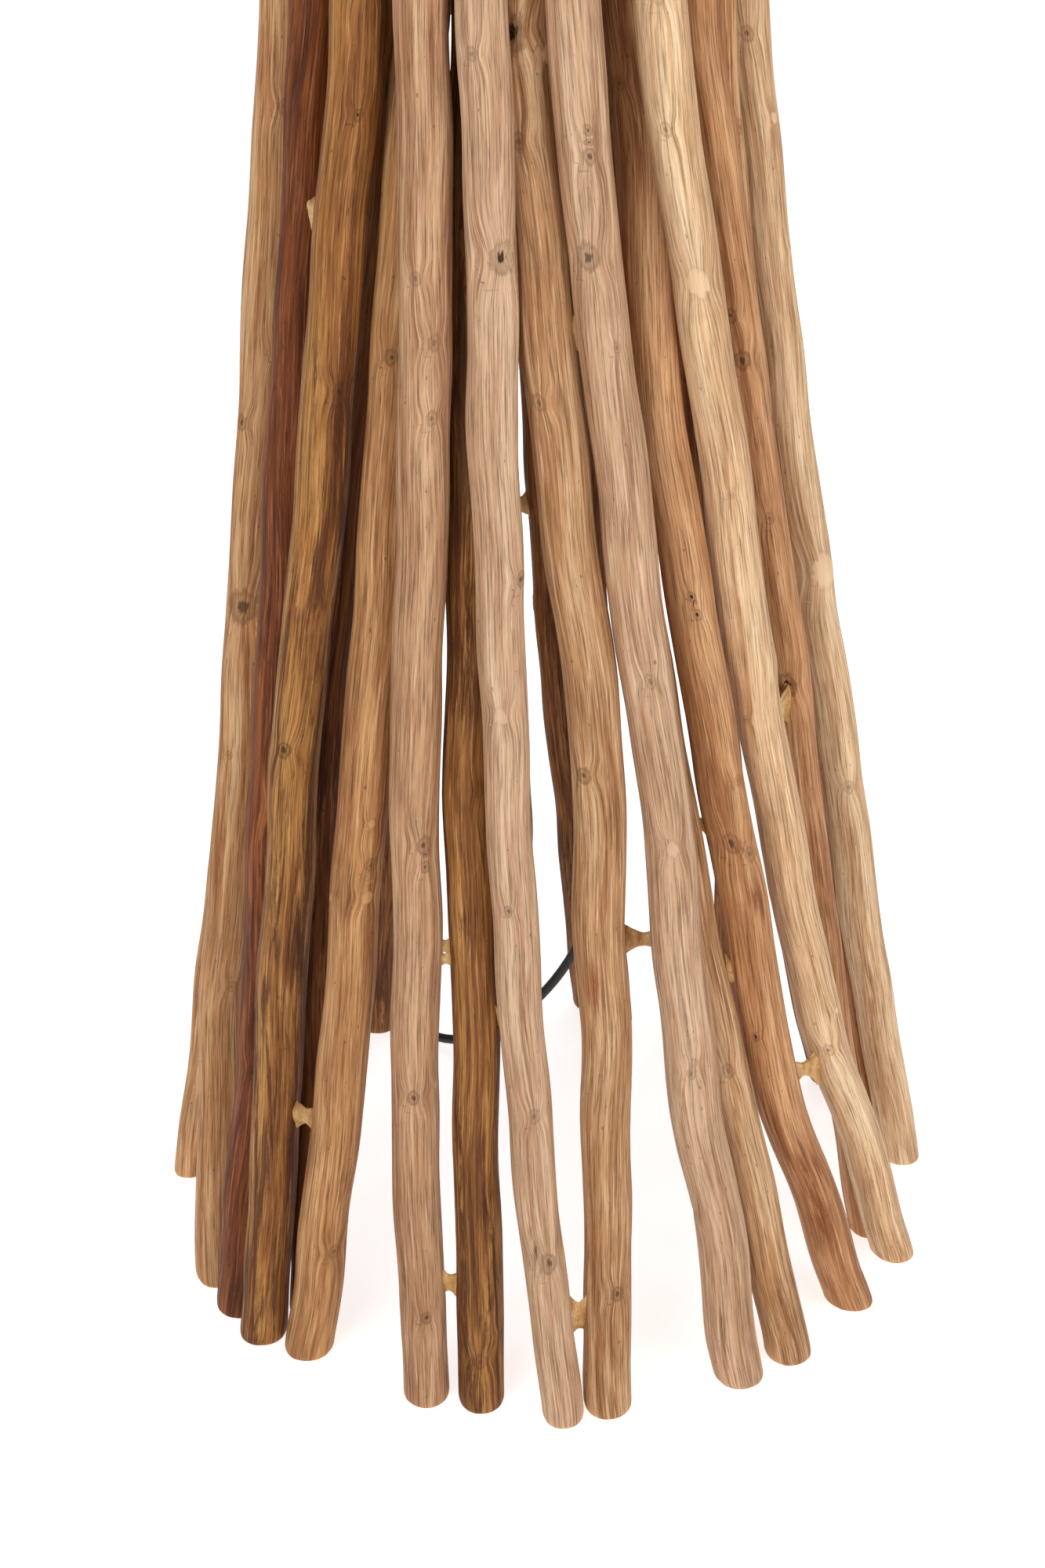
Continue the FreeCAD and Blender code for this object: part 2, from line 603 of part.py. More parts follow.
def rounded_path(points):
    """Straight runs joined by tangent arcs, each as large as its runs allow."""
    places = [V(*p) for p in points]
    edges, radii = [], []
    last = places[0]
    for before, at, after in zip(places, places[1:], places[2:]):
        back, ahead = before - at, after - at
        shorter = min(back.Length, ahead.Length)
        turn = math.pi - back.getAngle(ahead)
        cut = 0.45 * shorter
        radii.append(cut / math.tan(turn / 2))
        back.normalize()
        ahead.normalize()
        start, end = at + back * cut, at + ahead * cut
        half = back + ahead
        half.normalize()
        depth = radii[-1] / math.cos(turn / 2) - radii[-1]
        edges.append(Part.LineSegment(last, start).toShape())
        edges.append(Part.Arc(start, at + half * depth, end).toShape())
        last = end
    edges.append(Part.LineSegment(last, places[-1]).toShape())
    return Part.Wire(edges), radii


def cord_tube(name, points):
    path, radii = rounded_path(points)
    first = V(*points[1]) - V(*points[0])
    ring = Part.Wire([Part.makeCircle(CORD_RADIUS, V(*points[0]), first)])
    tube = path.makePipeShell([ring], True, False)
    share = tube.Volume / (math.pi * CORD_RADIUS ** 2 * path.Length)
    print(name, "length %.0f, volume share %.4f" % (path.Length, share))
    print("  radii", " ".join("%.0f" % r for r in radii))
    return tube


def largest(shape):
    return max(shape.Solids, key=lambda solid: solid.Volume)


def make_coil():
    """One ring of the coil's outer shape."""
    low, high = COIL_MIDDLE_RADIUS - COIL_WIDTH / 2, COIL_MIDDLE_RADIUS + COIL_WIDTH / 2
    ring = turned(((low, FLOOR_GAP), (high, FLOOR_GAP), (high, COIL_HEIGHT), (low, COIL_HEIGHT)))
    ring.translate(V(COIL_PLACE[0], COIL_PLACE[1], 0))
    return ring


def rounded_box(length, width, height, corner):
    """A box lying along Y with its middle over the origin and its bottom at z 0."""
    box = Part.makeBox(width, length, height, V(-width / 2, -length / 2, 0))
    upright = [e for e in box.Edges if abs(e.Vertexes[0].Z - e.Vertexes[1].Z) > 1]
    return box.makeFillet(corner, upright)


def place_switch(shape):
    shape.translate(V(SWITCH_PLACE[0], SWITCH_PLACE[1], 0))
    return shape


def switch_hollow(floor, height):
    length, width = SWITCH_LENGTH - 2 * SWITCH_END_WALL, SWITCH_WIDTH - 2 * SWITCH_WALL
    hollow = rounded_box(length, width, height, HOLLOW_CORNER)
    hollow.translate(V(0, 0, floor))
    return hollow


def make_switch_base():
    base = rounded_box(SWITCH_LENGTH, SWITCH_WIDTH, SWITCH_BASE_HEIGHT - FLOOR_GAP, SWITCH_CORNER)
    base.translate(V(0, 0, FLOOR_GAP))
    return place_switch(base.cut(switch_hollow(SWITCH_WALL, SWITCH_BASE_HEIGHT)))


ROCKER_AXIS_Z = SWITCH_BASE_HEIGHT + ROCKER_RISE


def rocker_axle(radius, length):
    """A cross bar on the rocker's axis, round the middle of the switch."""
    return Part.makeCylinder(radius, length, V(-length / 2, 0, ROCKER_AXIS_Z), V(1, 0, 0))


def make_switch_cover():
    cover = rounded_box(SWITCH_LENGTH, SWITCH_WIDTH, SWITCH_COVER_HEIGHT, SWITCH_CORNER)
    rim = [e for e in cover.Edges if min(v.Z for v in e.Vertexes) > SWITCH_COVER_HEIGHT - 0.01]
    cover = cover.makeFillet(SWITCH_RIM, rim)
    cover = cover.cut(switch_hollow(-1, SWITCH_COVER_HEIGHT - SWITCH_WALL + 1))
    window_length, window_width = ROCKER_LENGTH + 2 * FIT_GAP, ROCKER_WIDTH + 2 * FIT_GAP
    rib_height = SWITCH_COVER_HEIGHT - SWITCH_WALL
    for rib_side in (-window_width / 2 - SWITCH_WALL, window_width / 2):
        corner = V(rib_side, -RIB_LENGTH / 2, SWITCH_WALL / 2)
        cover = cover.fuse(Part.makeBox(SWITCH_WALL, RIB_LENGTH, rib_height, corner))
    cover = cover.cut(rounded_box(window_length, window_width, 2 * SWITCH_COVER_HEIGHT, WINDOW_CORNER))
    cover.translate(V(0, 0, SWITCH_BASE_HEIGHT))
    bore = rocker_axle(TRUNNION_RADIUS + TURNING_GAP, window_width + 2 * SWITCH_WALL + 1)
    return place_switch(cover.cut(bore).removeSplitter())


def make_rocker():
    """A rocker whose top is a shallow V, with stub axles at its sides."""
    half = ROCKER_LENGTH / 2 - ROCKER_END_CLEARANCE
    skirt = half - ROCKER_SKIRT_DRAFT
    side = (
        (-half, ROCKER_END), (0, ROCKER_MIDDLE), (half, ROCKER_END), (skirt, -ROCKER_SKIRT),
        (ROCKER_FOOT_HALF, -ROCKER_FOOT), (-ROCKER_FOOT_HALF, -ROCKER_FOOT), (-skirt, -ROCKER_SKIRT))
    points = [V(-ROCKER_WIDTH / 2, y, ROCKER_AXIS_Z + z) for y, z in side]
    face = Part.Face(Part.makePolygon(points + points[:1]))
    rocker = face.extrude(V(ROCKER_WIDTH, 0, 0))
    rocker = rocker.fuse(rocker_axle(TRUNNION_RADIUS, ROCKER_WIDTH + 2 * TRUNNION_LENGTH))
    rocker.rotate(V(0, 0, ROCKER_AXIS_Z), V(1, 0, 0), ROCKER_TILT)
    return place_switch(rocker)


def make_switch_contacts():
    strips = []
    width, length, thickness = STRIP_SIZE
    floor = SWITCH_WALL + FIT_GAP
    for middle in (-STRIP_PLACE, STRIP_PLACE):
        strip = Part.makeBox(width, length, thickness, V(middle - width / 2, -length / 2, floor))
        post_corner = V(middle - POST_SIZE[0] / 2, -POST_SIZE[1] / 2, floor + thickness)
        strips.append(place_switch(strip.fuse(Part.makeBox(*POST_SIZE, post_corner))))
    return Part.makeCompound(strips)


def place_plug(shape):
    """The plug lies along Y, its pins to the front."""
    shape.rotate(V(0, 0, 0), UP, 180)
    shape.translate(V(PLUG_PLACE[0], PLUG_PLACE[1], 0))
    return shape


def lay_pin(shape, side):
    """Turns an upright pin to lie along Y, with z 0 on the plug's front face."""
    shape.rotate(V(0, 0, 0), V(1, 0, 0), -90)
    shape.translate(V(side * PIN_SPACING / 2, PLUG_LENGTH / 2, PLUG_THICKNESS / 2))
    return shape


def make_plug_body():
    body = rounded_box(PLUG_LENGTH, PLUG_WIDTH, PLUG_THICKNESS - FLOOR_GAP, PLUG_CORNER)
    body.translate(V(0, 0, FLOOR_GAP))
    root = V(0, -PLUG_LENGTH / 2, PLUG_THICKNESS / 2)
    relief = Part.makeCone(RELIEF_ROOT_RADIUS, RELIEF_TIP_RADIUS, RELIEF_LENGTH, root, V(0, -1, 0))
    body = body.fuse(relief)
    for side in (-1, 1):
        root_hole = cylinder(PIN_ROOT_RADIUS, 2 * PIN_ROOT, -PIN_ROOT)
        body = body.cut(lay_pin(root_hole, side))
    return place_plug(body)


def make_plug_pins():
    pins = []
    for side in (-1, 1):
        root = cylinder(PIN_ROOT_RADIUS, PIN_ROOT + PIN_COLLAR, -PIN_ROOT)
        pin = cylinder(PIN_RADIUS, PIN_LENGTH - PIN_COLLAR, PIN_COLLAR)
        tip = max(pin.Edges, key=lambda e: e.BoundBox.ZMin)
        pin = pin.makeFillet(PIN_TIP, [tip]).fuse(root)
        pins.append(place_plug(lay_pin(pin, side)))
    return Part.makeCompound(pins)


def make_glue(branches):
    """Small bridges between neighbours, trimmed where they meet the branches."""
    bridges = []
    for first, second, z in GLUE:
        height = z * BUNDLE_HEIGHT / TABLE_HEIGHT
        a, b = branch_centre(first - 1, height), branch_centre(second - 1, height)
        bridge = Part.makeCylinder(GLUE_RADIUS, (b - a).Length, a, b - a)
        for index, branch in enumerate(branches):
            if branch.BoundBox.intersect(bridge.BoundBox):
                bridge = bridge.cut(branch)
        if bridge.Solids:
            bridges.append(largest(bridge))
    return Part.makeCompound(bridges)


def save(name, shape):
    if not shape.isValid():
        print("not valid:", name)
    shape.exportStep("parts/" + name + ".step")


def main():
    os.makedirs("parts", exist_ok=True)
    branches = [make_branch(index) for index in range(len(BRANCHES))]
    screws = make_hub_screws()
    glue = make_glue(branches)
    for index, screw in screws:
        branches[index] = branches[index].cut(screw)
    for index, branch in enumerate(branches):
        save("branch_%02d" % (index + 1), branch)
    save("glue_bridges", glue)
    save("lower_hub", make_hub(LOWER_HUB_Z, LOWER_HUB_RADIUS, screws, branches))
    save("upper_hub", make_hub(UPPER_HUB_Z, UPPER_HUB_RADIUS, screws, branches))
    save("hub_screws", Part.makeCompound([screw for index, screw in screws]))
    save("centre_tube", pipe(TUBE_RADIUS, TUBE_RADIUS - TUBE_WALL, TUBE_TOP - TUBE_BOTTOM, TUBE_BOTTOM))
    save("tube_nuts", make_nuts())
    save("tube_washers", make_washers())
    save("cord_gland", make_gland())
    inner_length = SLEEVE_FLOOR - CORD_END_DROP - GLAND_TIP
    save("inner_cord", cylinder(CORD_RADIUS, inner_length, GLAND_TIP))
    save("holder_cap", make_holder_cap())
    save("holder_sleeve", make_holder_sleeve())
    save("holder_insert", make_holder_insert())
    save("screw_shell", make_screw_shell())
    save("centre_contact", make_centre_contact())
    save("bulb_contact", make_bulb_contact())
    save("bulb_cap", make_bulb_cap())
    save("bulb_glass", make_bulb_glass())
    save("shade_cloth", make_shade_cloth())
    spider = make_spider()
    save("shade_wires", make_shade_wires().cut(spider))
    save("shade_spider", spider)
    save("shade_ring", make_shade_ring())
    coil = make_coil()
    save("cord_coil", coil)
    save("cord_run", cord_tube("cord_run", ROUTE_IN))
    save("cord_tail", largest(cord_tube("cord_tail", ROUTE_TAIL).cut(coil)))
    save("cord_lead", largest(cord_tube("cord_lead", ROUTE_LEAD).cut(coil)))
    save("switch_base", make_switch_base())
    save("switch_cover", make_switch_cover())
    save("switch_rocker", make_rocker())
    save("switch_contacts", make_switch_contacts())
    save("plug_body", make_plug_body())
    save("plug_pins", make_plug_pins())


main()
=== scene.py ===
import json
import math
import bpy
import numpy as np
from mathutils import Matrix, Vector


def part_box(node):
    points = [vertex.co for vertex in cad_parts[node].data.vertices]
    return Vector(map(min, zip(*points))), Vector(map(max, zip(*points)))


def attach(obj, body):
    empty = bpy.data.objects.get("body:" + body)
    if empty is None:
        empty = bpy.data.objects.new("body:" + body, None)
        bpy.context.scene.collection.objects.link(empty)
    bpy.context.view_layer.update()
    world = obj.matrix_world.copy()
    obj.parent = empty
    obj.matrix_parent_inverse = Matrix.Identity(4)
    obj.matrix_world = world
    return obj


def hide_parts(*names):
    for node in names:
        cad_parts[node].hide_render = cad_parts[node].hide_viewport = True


# Looks of a floor lamp made of a bundle of peeled branches. Metres, +Z up, the CAD's frame.

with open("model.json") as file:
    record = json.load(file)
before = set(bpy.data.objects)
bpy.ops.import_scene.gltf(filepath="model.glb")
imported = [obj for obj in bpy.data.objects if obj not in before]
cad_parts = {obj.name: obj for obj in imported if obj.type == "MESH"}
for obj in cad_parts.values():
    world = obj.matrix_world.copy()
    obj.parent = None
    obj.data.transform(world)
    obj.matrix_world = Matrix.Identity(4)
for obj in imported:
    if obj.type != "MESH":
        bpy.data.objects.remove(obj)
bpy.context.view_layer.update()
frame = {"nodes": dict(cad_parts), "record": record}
NODES = frame["nodes"]
SLOTS = {s["node"]: s["material_slot"] for s in frame["record"]["subparts"]}
MM = 0.001
SEED = 7


# ---------------------------------------------------------------- Material helpers

class Shader:
    """One material's node tree, with short names for the nodes that it needs."""

    def __init__(self, name):
        self.material = bpy.data.materials.new(name)
        self.material.use_nodes = True
        self.tree = self.material.node_tree
        self.surface = self.tree.nodes["Principled BSDF"]

    def node(self, kind, **settings):
        made = self.tree.nodes.new("ShaderNode" + kind)
        for key, value in settings.items():
            setattr(made, key, value)
        return made

    def feed(self, socket, value):
        if isinstance(value, bpy.types.NodeSocket):
            self.tree.links.new(value, socket)
        else:
            socket.default_value = value

    def attribute(self, name, output="Fac"):
        return self.node("Attribute", attribute_name=name).outputs[output]

    def place(self):
        """Object coordinates: metres in the lamp's frame."""
        return self.node("TexCoord").outputs["Object"]

    def scaled(self, vector, scale):
        made = self.node("Mapping")
        self.feed(made.inputs["Vector"], vector)
        made.inputs["Scale"].default_value = scale
        return made.outputs["Vector"]

    def noise(self, vector, scale, detail=4.0, rough=0.55, twist=0.0):
        made = self.node("TexNoise")
        self.feed(made.inputs["Vector"], vector)
        made.inputs["Scale"].default_value = scale
        made.inputs["Detail"].default_value = detail
        made.inputs["Roughness"].default_value = rough
        made.inputs["Distortion"].default_value = twist
        return made.outputs["Fac"]

    def ramp(self, fac, *stops):
        """stops are (place, colour or grey level)."""
        made = self.node("ValToRGB")
        self.feed(made.inputs["Fac"], fac)
        bar = made.color_ramp.elements
        while len(bar) < len(stops):
            bar.new(0.5)
        for element, (spot, colour) in zip(bar, stops):
            element.position = spot
            if not hasattr(colour, "__len__"):
                colour = (colour, colour, colour)
            element.color = (*colour, 1)
        return made.outputs["Color"]

    def mix(self, fac, a, b, how="MIX"):
        made = self.node("Mix", data_type="RGBA", blend_type=how)
        self.feed(made.inputs[0], fac)
        for socket, value in ((made.inputs[6], a), (made.inputs[7], b)):
            if hasattr(value, "__len__") and len(value) == 3:
                value = (*value, 1)
            self.feed(socket, value)
        return made.outputs[2]

    def math(self, how, a, b=0.0):
        made = self.node("Math", operation=how)
        self.feed(made.inputs[0], a)
        self.feed(made.inputs[1], b)
        return made.outputs[0]

    def bump(self, height, strength, depth):
        made = self.node("Bump")
        made.inputs["Strength"].default_value = strength
        made.inputs["Distance"].default_value = depth
        self.feed(made.inputs["Height"], height)
        self.feed(self.surface.inputs["Normal"], made.outputs["Normal"])

    def finish(self, colour, rough, **constants):
        self.feed(self.surface.inputs["Base Color"], colour)
        self.feed(self.surface.inputs["Roughness"], rough)
        for name, value in constants.items():
            self.surface.inputs[name.replace("_", " ")].default_value = value
        return self.material


def srgb(r, g, b):
    """Linear colour from 0 to 255 screen values."""
    def linear(v):
        v /= 255
        return v / 12.92 if v <= 0.04045 else ((v + 0.055) / 1.055) ** 2.4
    return linear(r), linear(g), linear(b)


# ---------------------------------------------------------------- Wood

# Each tone: pale, middle and dark of the wood, the bark left on it, and how much bark there is
TONES = {
    "tan": (srgb(219, 178, 131), srgb(199, 146, 97), srgb(166, 107, 60), srgb(96, 50, 20), 0.06),
    "dusky": (srgb(206, 166, 128), srgb(185, 139, 102), srgb(156, 107, 70), srgb(110, 64, 36), 0.03),
    "pink": (srgb(218, 183, 150), srgb(198, 157, 122), srgb(171, 126, 91), srgb(120, 72, 44), 0.03),
    "pale": (srgb(238, 206, 167), srgb(219, 178, 135), srgb(190, 141, 98), srgb(126, 78, 44), 0.04),
    "streaked": (srgb(216, 178, 137), srgb(187, 139, 95), srgb(146, 94, 54), srgb(112, 62, 32), 0.10),
    "golden": (srgb(206, 157, 104), srgb(179, 126, 78), srgb(142, 88, 44), srgb(84, 40, 12), 0.17),
    "barky": (srgb(188, 136, 74), srgb(152, 97, 45), srgb(108, 60, 24), srgb(62, 28, 8), 0.36),
    "red": (srgb(164, 95, 42), srgb(126, 64, 25), srgb(90, 42, 15), srgb(56, 24, 8), 0.26),
    "orange": (srgb(214, 164, 118), srgb(189, 134, 88), srgb(152, 94, 54), srgb(98, 48, 20), 0.12),
    # brown is darker wood, given mostly to the back and inner branches: partly their own colour, partly
    # painted shade
    "brown": (srgb(170, 116, 66), srgb(136, 84, 42), srgb(100, 56, 24), srgb(56, 26, 8), 0.24),
}


# Noises in the wood: stretch along the fibres, fineness, detail, roughness and twist
GRAIN_NOISES = {
    "fibres": (0.024, 1700, 4, 0.7, 0.0),
    "threads": (0.030, 820, 5, 0.66, 0.25),
    "streaks": (0.034, 230, 5, 0.66, 0.4),
    "blotches": (0.25, 34, 4, 0.6, 0.5),
    "flakes": (0.060, 230, 9, 0.78, 0.8),
    "patches": (0.16, 26, 2, 0.5, 0.0),
    "specks": (0.45, 610, 1, 0.4, 0.0),
    "fray": (0.5, 420, 4, 0.7, 0.0),
}
MARK_LENGTH = 1.3        # a mark is this many times as long as it is wide
YEAR_RINGS = 260         # fineness of the rings on a sawn end
WOOD_RELIEF = 0.6 * MM


def lighter(colour, times, plus=0.0):
    """A colour made lighter, or darker where times is below 1."""
    return tuple(min(1.0, times * v + plus) for v in colour)


def grain_noise(s, grain, name):
    stretch, *settings = GRAIN_NOISES[name]
    return s.noise(s.scaled(grain, (1, 1, stretch)), *settings)


def knot_pattern(s, grain):
    """Ring, heart and inside of the nearest mark, frayed along the fibres."""
    parts = s.node("SeparateXYZ")
    s.feed(parts.inputs[0], s.attribute("mark", "Vector"))
    across, along = parts.outputs[0], s.math("MULTIPLY", parts.outputs[1], 1 / MARK_LENGTH)
    square = s.math("ADD", s.math("MULTIPLY", across, across), s.math("MULTIPLY", along, along))
    fray = s.math("SUBTRACT", grain_noise(s, grain, "fray"), 0.5)
    reach = s.math("ADD", s.math("SQRT", square), s.math("MULTIPLY", fray, 1.3))
    ring = s.ramp(reach, (0.30, 0.25), (0.55, 0.5), (0.80, 1.0), (0.98, 0.45), (1.0, 0.0))
    heart = s.ramp(reach, (0.22, 1.0), (0.42, 0.0))
    inside = s.ramp(reach, (0.72, 1.0), (0.95, 0.0))
    return ring, heart, inside


def peeled(s, grain, fibres, threads, tones):
    """Bare wood: three tones in streaks, with fine dark fibres, pale threads and brown lines."""
    pale, middle, dark = tones
    streaks = s.math("MULTIPLY", grain_noise(s, grain, "streaks"), 0.66)
    blotches = s.math("MULTIPLY", grain_noise(s, grain, "blotches"), 0.34)
    colour = s.ramp(s.math("ADD", streaks, blotches), (0.385, dark), (0.50, middle), (0.615, pale))
    light = s.ramp(fibres, (0.37, 0.44), (0.47, 0.84), (0.56, 1.06))
    colour = s.mix(1.0, colour, light, "MULTIPLY")
    pale_threads = s.ramp(threads, (0.55, 0.0), (0.66, 0.65))
    colour = s.mix(pale_threads, colour, lighter(pale, 1.15, 0.05))
    brown_lines = s.ramp(threads, (0.34, 0.75), (0.43, 0.0))
    return s.mix(brown_lines, colour, lighter(dark, 0.62))


def bark_cover(s, grain, flakes, share):
    """Where flakes of bark are left: more of them as the share grows."""
    patches = s.math("MULTIPLY", grain_noise(s, grain, "patches"), 0.38)
    cover = s.math("ADD", s.math("MULTIPLY", flakes, 0.62), patches)
    edge = 0.64 - 0.40 * share
    return s.ramp(cover, (edge, 0.0), (edge + 0.045, 0.85))


def sawn_end(s, grain, middle, pale):
    """Year rings on the sawn ends."""
    rings = s.node("TexWave", wave_type="RINGS", rings_direction="Z")
    rings.inputs["Scale"].default_value = YEAR_RINGS
    rings.inputs["Distortion"].default_value = 1.2
    rings.inputs["Detail Scale"].default_value = 60
    s.feed(rings.inputs["Vector"], s.scaled(grain, (1, 1, 0.0)))
    return s.ramp(rings.outputs["Fac"], (0.1, middle), (0.9, pale))


def wood(name):
    """Peeled, waxed wood whose fibres run along the stick, with streaks, bark and knots."""
    pale, middle, dark, bark, bark_share = TONES[name]
    s = Shader("wood_" + name)
    grain = s.attribute("grain", "Vector")
    fibres = grain_noise(s, grain, "fibres")
    threads = grain_noise(s, grain, "threads")
    flakes = grain_noise(s, grain, "flakes")
    colour = peeled(s, grain, fibres, threads, (pale, middle, dark))
    on_bark = bark_cover(s, grain, flakes, bark_share)
    colour = s.mix(on_bark, colour, s.mix(fibres, bark, lighter(bark, 2.2)))
    specks = s.ramp(grain_noise(s, grain, "specks"), (0.755, 0.0), (0.80, 0.6))
    colour = s.mix(specks, colour, lighter(bark, 0.8))
    ring, heart, inside = knot_pattern(s, grain)
    ringed = s.math("MULTIPLY", ring, s.attribute("knot"))
    colour = s.mix(s.math("MULTIPLY", ringed, 0.62), colour, lighter(dark, 0.55))
    scar = s.math("MULTIPLY", inside, s.attribute("pale"))
    colour = s.mix(scar, colour, s.mix(fibres, middle, lighter(pale, 1.1, 0.04)))
    # Near black at the middle of knots, holes and dots: painted shade in the pit, besides the dark heart of
    # a knot.
    pitted = s.math("MULTIPLY", heart, s.attribute("pit"))
    colour = s.mix(pitted, colour, lighter(bark, 0.28))
    # Near black along cracks: painted shade in the slit.
    colour = s.mix(s.attribute("slit"), colour, lighter(bark, 0.16))
    stain = s.math("MULTIPLY", s.attribute("stain"), s.ramp(flakes, (0.42, 0.0), (0.56, 1.0)))
    colour = s.mix(stain, colour, s.mix(fibres, bark, lighter(bark, 2.0)))
    colour = s.mix(s.attribute("sawn"), colour, sawn_end(s, grain, middle, pale))
    height = s.math("ADD", s.math("MULTIPLY", fibres, 0.45), s.math("MULTIPLY", threads, 0.55))
    height = s.math("SUBTRACT", height, s.math("MULTIPLY", s.math("ADD", ringed, pitted), 0.35))
    height = s.math("SUBTRACT", height, s.math("MULTIPLY", on_bark, 0.25))
    s.bump(height, 0.7, WOOD_RELIEF)
    rough = s.ramp(fibres, (0.36, 0.74), (0.62, 0.52))
    return s.finish(colour, rough, Specular_IOR_Level=0.24)


# ---------------------------------------------------------------- Branches

# For each branch its tone, and its marks: (height, degrees to the right of its face, size,
# kind), in millimetres. The kinds are knot (ringed, with a pit), pitted and rough knots, hole,
# dot, scar (pale, raised), node (a swelling all round), crack and stain.
BRANCH_LOOKS = {
    1: ("tan", ((120, 20, 4, "dot"), (430, -10, 4, "knot"))),
    2: ("tan", ((342, -20, 6.5, "knot"), (455, 30, 3, "knot"), (560, 10, 3, "dot"), (150, 25, 2.5, "dot"))),
    3: ("red", ((260, 25, 4, "knot"), (130, -20, 3, "dot"), (14, 5, 9, "stain"))),
    4: ("barky", ((565, 8, 2.2, "hole"), (455, 20, 3, "dot"), (205, 10, 7, "stain"), (330, 50, 9, "stain"))),
    5: ("golden", ((238, 25, 3, "scar"), (95, 35, 4, "stain"), (470, -10, 3, "knot"), (60, 30, 3, "dot"))),
    6: ("brown", ()),
    7: ("dusky", ((268, 22, 3.4, "knot"), (258, 24, 2.4, "knot"), (152, -5, 3, "knot"), (46, 8, 2.6, "knot"),
                 (450, 18, 2.6, "dot"), (480, 20, 3, "dot"), (505, -20, 2.5, "dot"))),
    8: ("barky", ((60, 35, 10, "stain"), (110, 40, 8, "stain"), (330, 0, 6, "stain"), (360, 10, 5, "stain"),
                  (26, 0, 3, "dot"))),
    9: ("pink", ((514, 28, 5.5, "rough"), (329, -10, 3.2, "scar"), (385, 60, 3, "knot"), (150, 12, 3, "dot"),
                 (82, 15, 4, "knot"), (88, -16, 7, "crack"), (590, -25, 2.5, "dot"))),
    10: ("streaked", ((596, -30, 7, "rough"), (556, -20, 3, "dot"), (62, 25, 3, "knot"),
                      (205, -20, 5, "stain"), (300, -28, 3, "knot"), (455, -30, 3, "dot"))),
    11: ("pink", ((514, -12, 4.6, "knot"), (552, 12, 2.8, "knot"), (562, 14, 2, "knot"), (478, 30, 2, "dot"),
                  (340, 10, 2.6, "dot"), (160, 0, 2.4, "dot"))),
    12: ("streaked", ((150, 10, 3, "dot"), (300, 0, 5, "stain"))),
    13: ("orange", ((368, 8, 2.0, "hole"), (360, 16, 2.2, "hole"), (257, 4, 4.2, "knot"),
                    (160, -25, 2.0, "hole"), (230, 40, 4, "stain"), (90, 20, 6, "stain"),
                    (60, 0, 7, "stain"))),
    14: ("pale", ((500, 5, 5, "scar"), (560, -14, 2.5, "dot"), (334, 0, 7, "node"), (610, 0, 3, "dot"),
                  (140, 10, 3, "dot"))),
    15: ("orange", ((480, -15, 2.6, "knot"), (461, 0, 3.6, "knot"), (390, 12, 2.4, "dot"),
                    (310, -10, 4.6, "pitted"))),
    16: ("tan", ((560, 0, 3, "knot"), (300, 10, 3, "dot"))),
    17: ("pale", ((352, 40, 7.5, "scar"), (590, 0, 3, "knot"), (240, 20, 3, "dot"))),
    18: ("orange", ((120, 0, 3, "dot"), (340, -30, 4, "knot"))),
    # The back and inner branches 19 to 28 mostly get the darker brown, golden and red tones: partly their
    # own wood colour, partly painted shade for the dim inside of the bundle.
    19: ("brown", ()), 20: ("brown", ()), 21: ("tan", ()), 22: ("brown", ()), 23: ("golden", ()),
    24: ("brown", ()), 25: ("orange", ()), 26: ("golden", ()), 27: ("brown", ()), 28: ("red", ()),
}
SMALL_MARKS = 5          # more small marks on each branch, placed at random
STICK_AROUND = 48
STICK_PITCH = 3.0 * MM   # between rings of the mesh
FOOT_ROUNDING = ((0.0, 2.6), (0.35, 1.5), (1.1, 0.7), (2.3, 0.22), (4.0, 0.0))
TOP_ROUNDING = ((3.0, 0.0), (1.4, 0.25), (0.4, 0.8), (0.0, 1.5))
UV_STRIPS = 4
STICK_SMOOTHING = 9      # rings over which the middle line is evened out
SWAY = 1.5 * MM          # how far a stick wanders from the CAD's middle line
SWAY_X = (0.31, 0.17, 0.083)
SWAY_Y = (0.29, 0.15, 0.091)
SWELL = 0.035            # share by which its thickness changes along it
SWELL_LENGTHS = (0.23, 0.11, 0.047)
OUT_OF_ROUND = ((2, 0.030), (3, 0.018), (5, 0.008), (9, 0.004), (14, 0.003))
CALM_LENGTH = 40 * MM    # the ends wander less, over this length
CALM_LEAST = 0.15
GRAIN_APART = 1.7        # keeps one stick's grain away from the next one's
SAWN_FOOT = (1, 0.4)     # share of sawn wood on the lowest rings, and on the highest ones
SAWN_CROWN = (0.6, 1)
CAMERA_PLACE = Vector((0.00487, -0.990, 0.674))


def mesh_arrays(node):
    """A CAD node's points and edges as arrays."""
    mesh = NODES[node].data
    points = np.zeros(len(mesh.vertices) * 3)
    mesh.vertices.foreach_get("co", points)
    edges = np.zeros(len(mesh.edges) * 2, int)
    mesh.edges.foreach_get("vertices", edges)
    return points.reshape(-1, 3), edges.reshape(-1, 2)


def slices(node, heights):
    """Centre x, centre y and radius of an upright stick at each height."""
    points, edges = mesh_arrays(node)
    a, b = points[edges[:, 0]], points[edges[:, 1]]
    low, high = points[:, 2].min(), points[:, 2].max()
    found = []
    for z in np.clip(heights, low + 0.5 * MM, high - 0.5 * MM):
        crossing = (a[:, 2] - z) * (b[:, 2] - z) < 0
        p, q = a[crossing], b[crossing]
        share = ((z - p[:, 2]) / (q[:, 2] - p[:, 2]))[:, None]
        ring = (p + (q - p) * share)[:, :2]
        centre = (ring.max(0) + ring.min(0)) / 2
        found.append((*centre, np.hypot(*(ring - centre).T).max()))
    return np.array(found)


def waves(rng, along, lengths, size):
    """A smooth random curve: a few sines of the given wavelengths."""
    total = np.zeros_like(along)
    for length in lengths:
        total += rng.uniform(0.5, 1.0) * np.sin(2 * math.pi * along / length + rng.uniform(0, 6.28))
    return total * size / len(lengths)


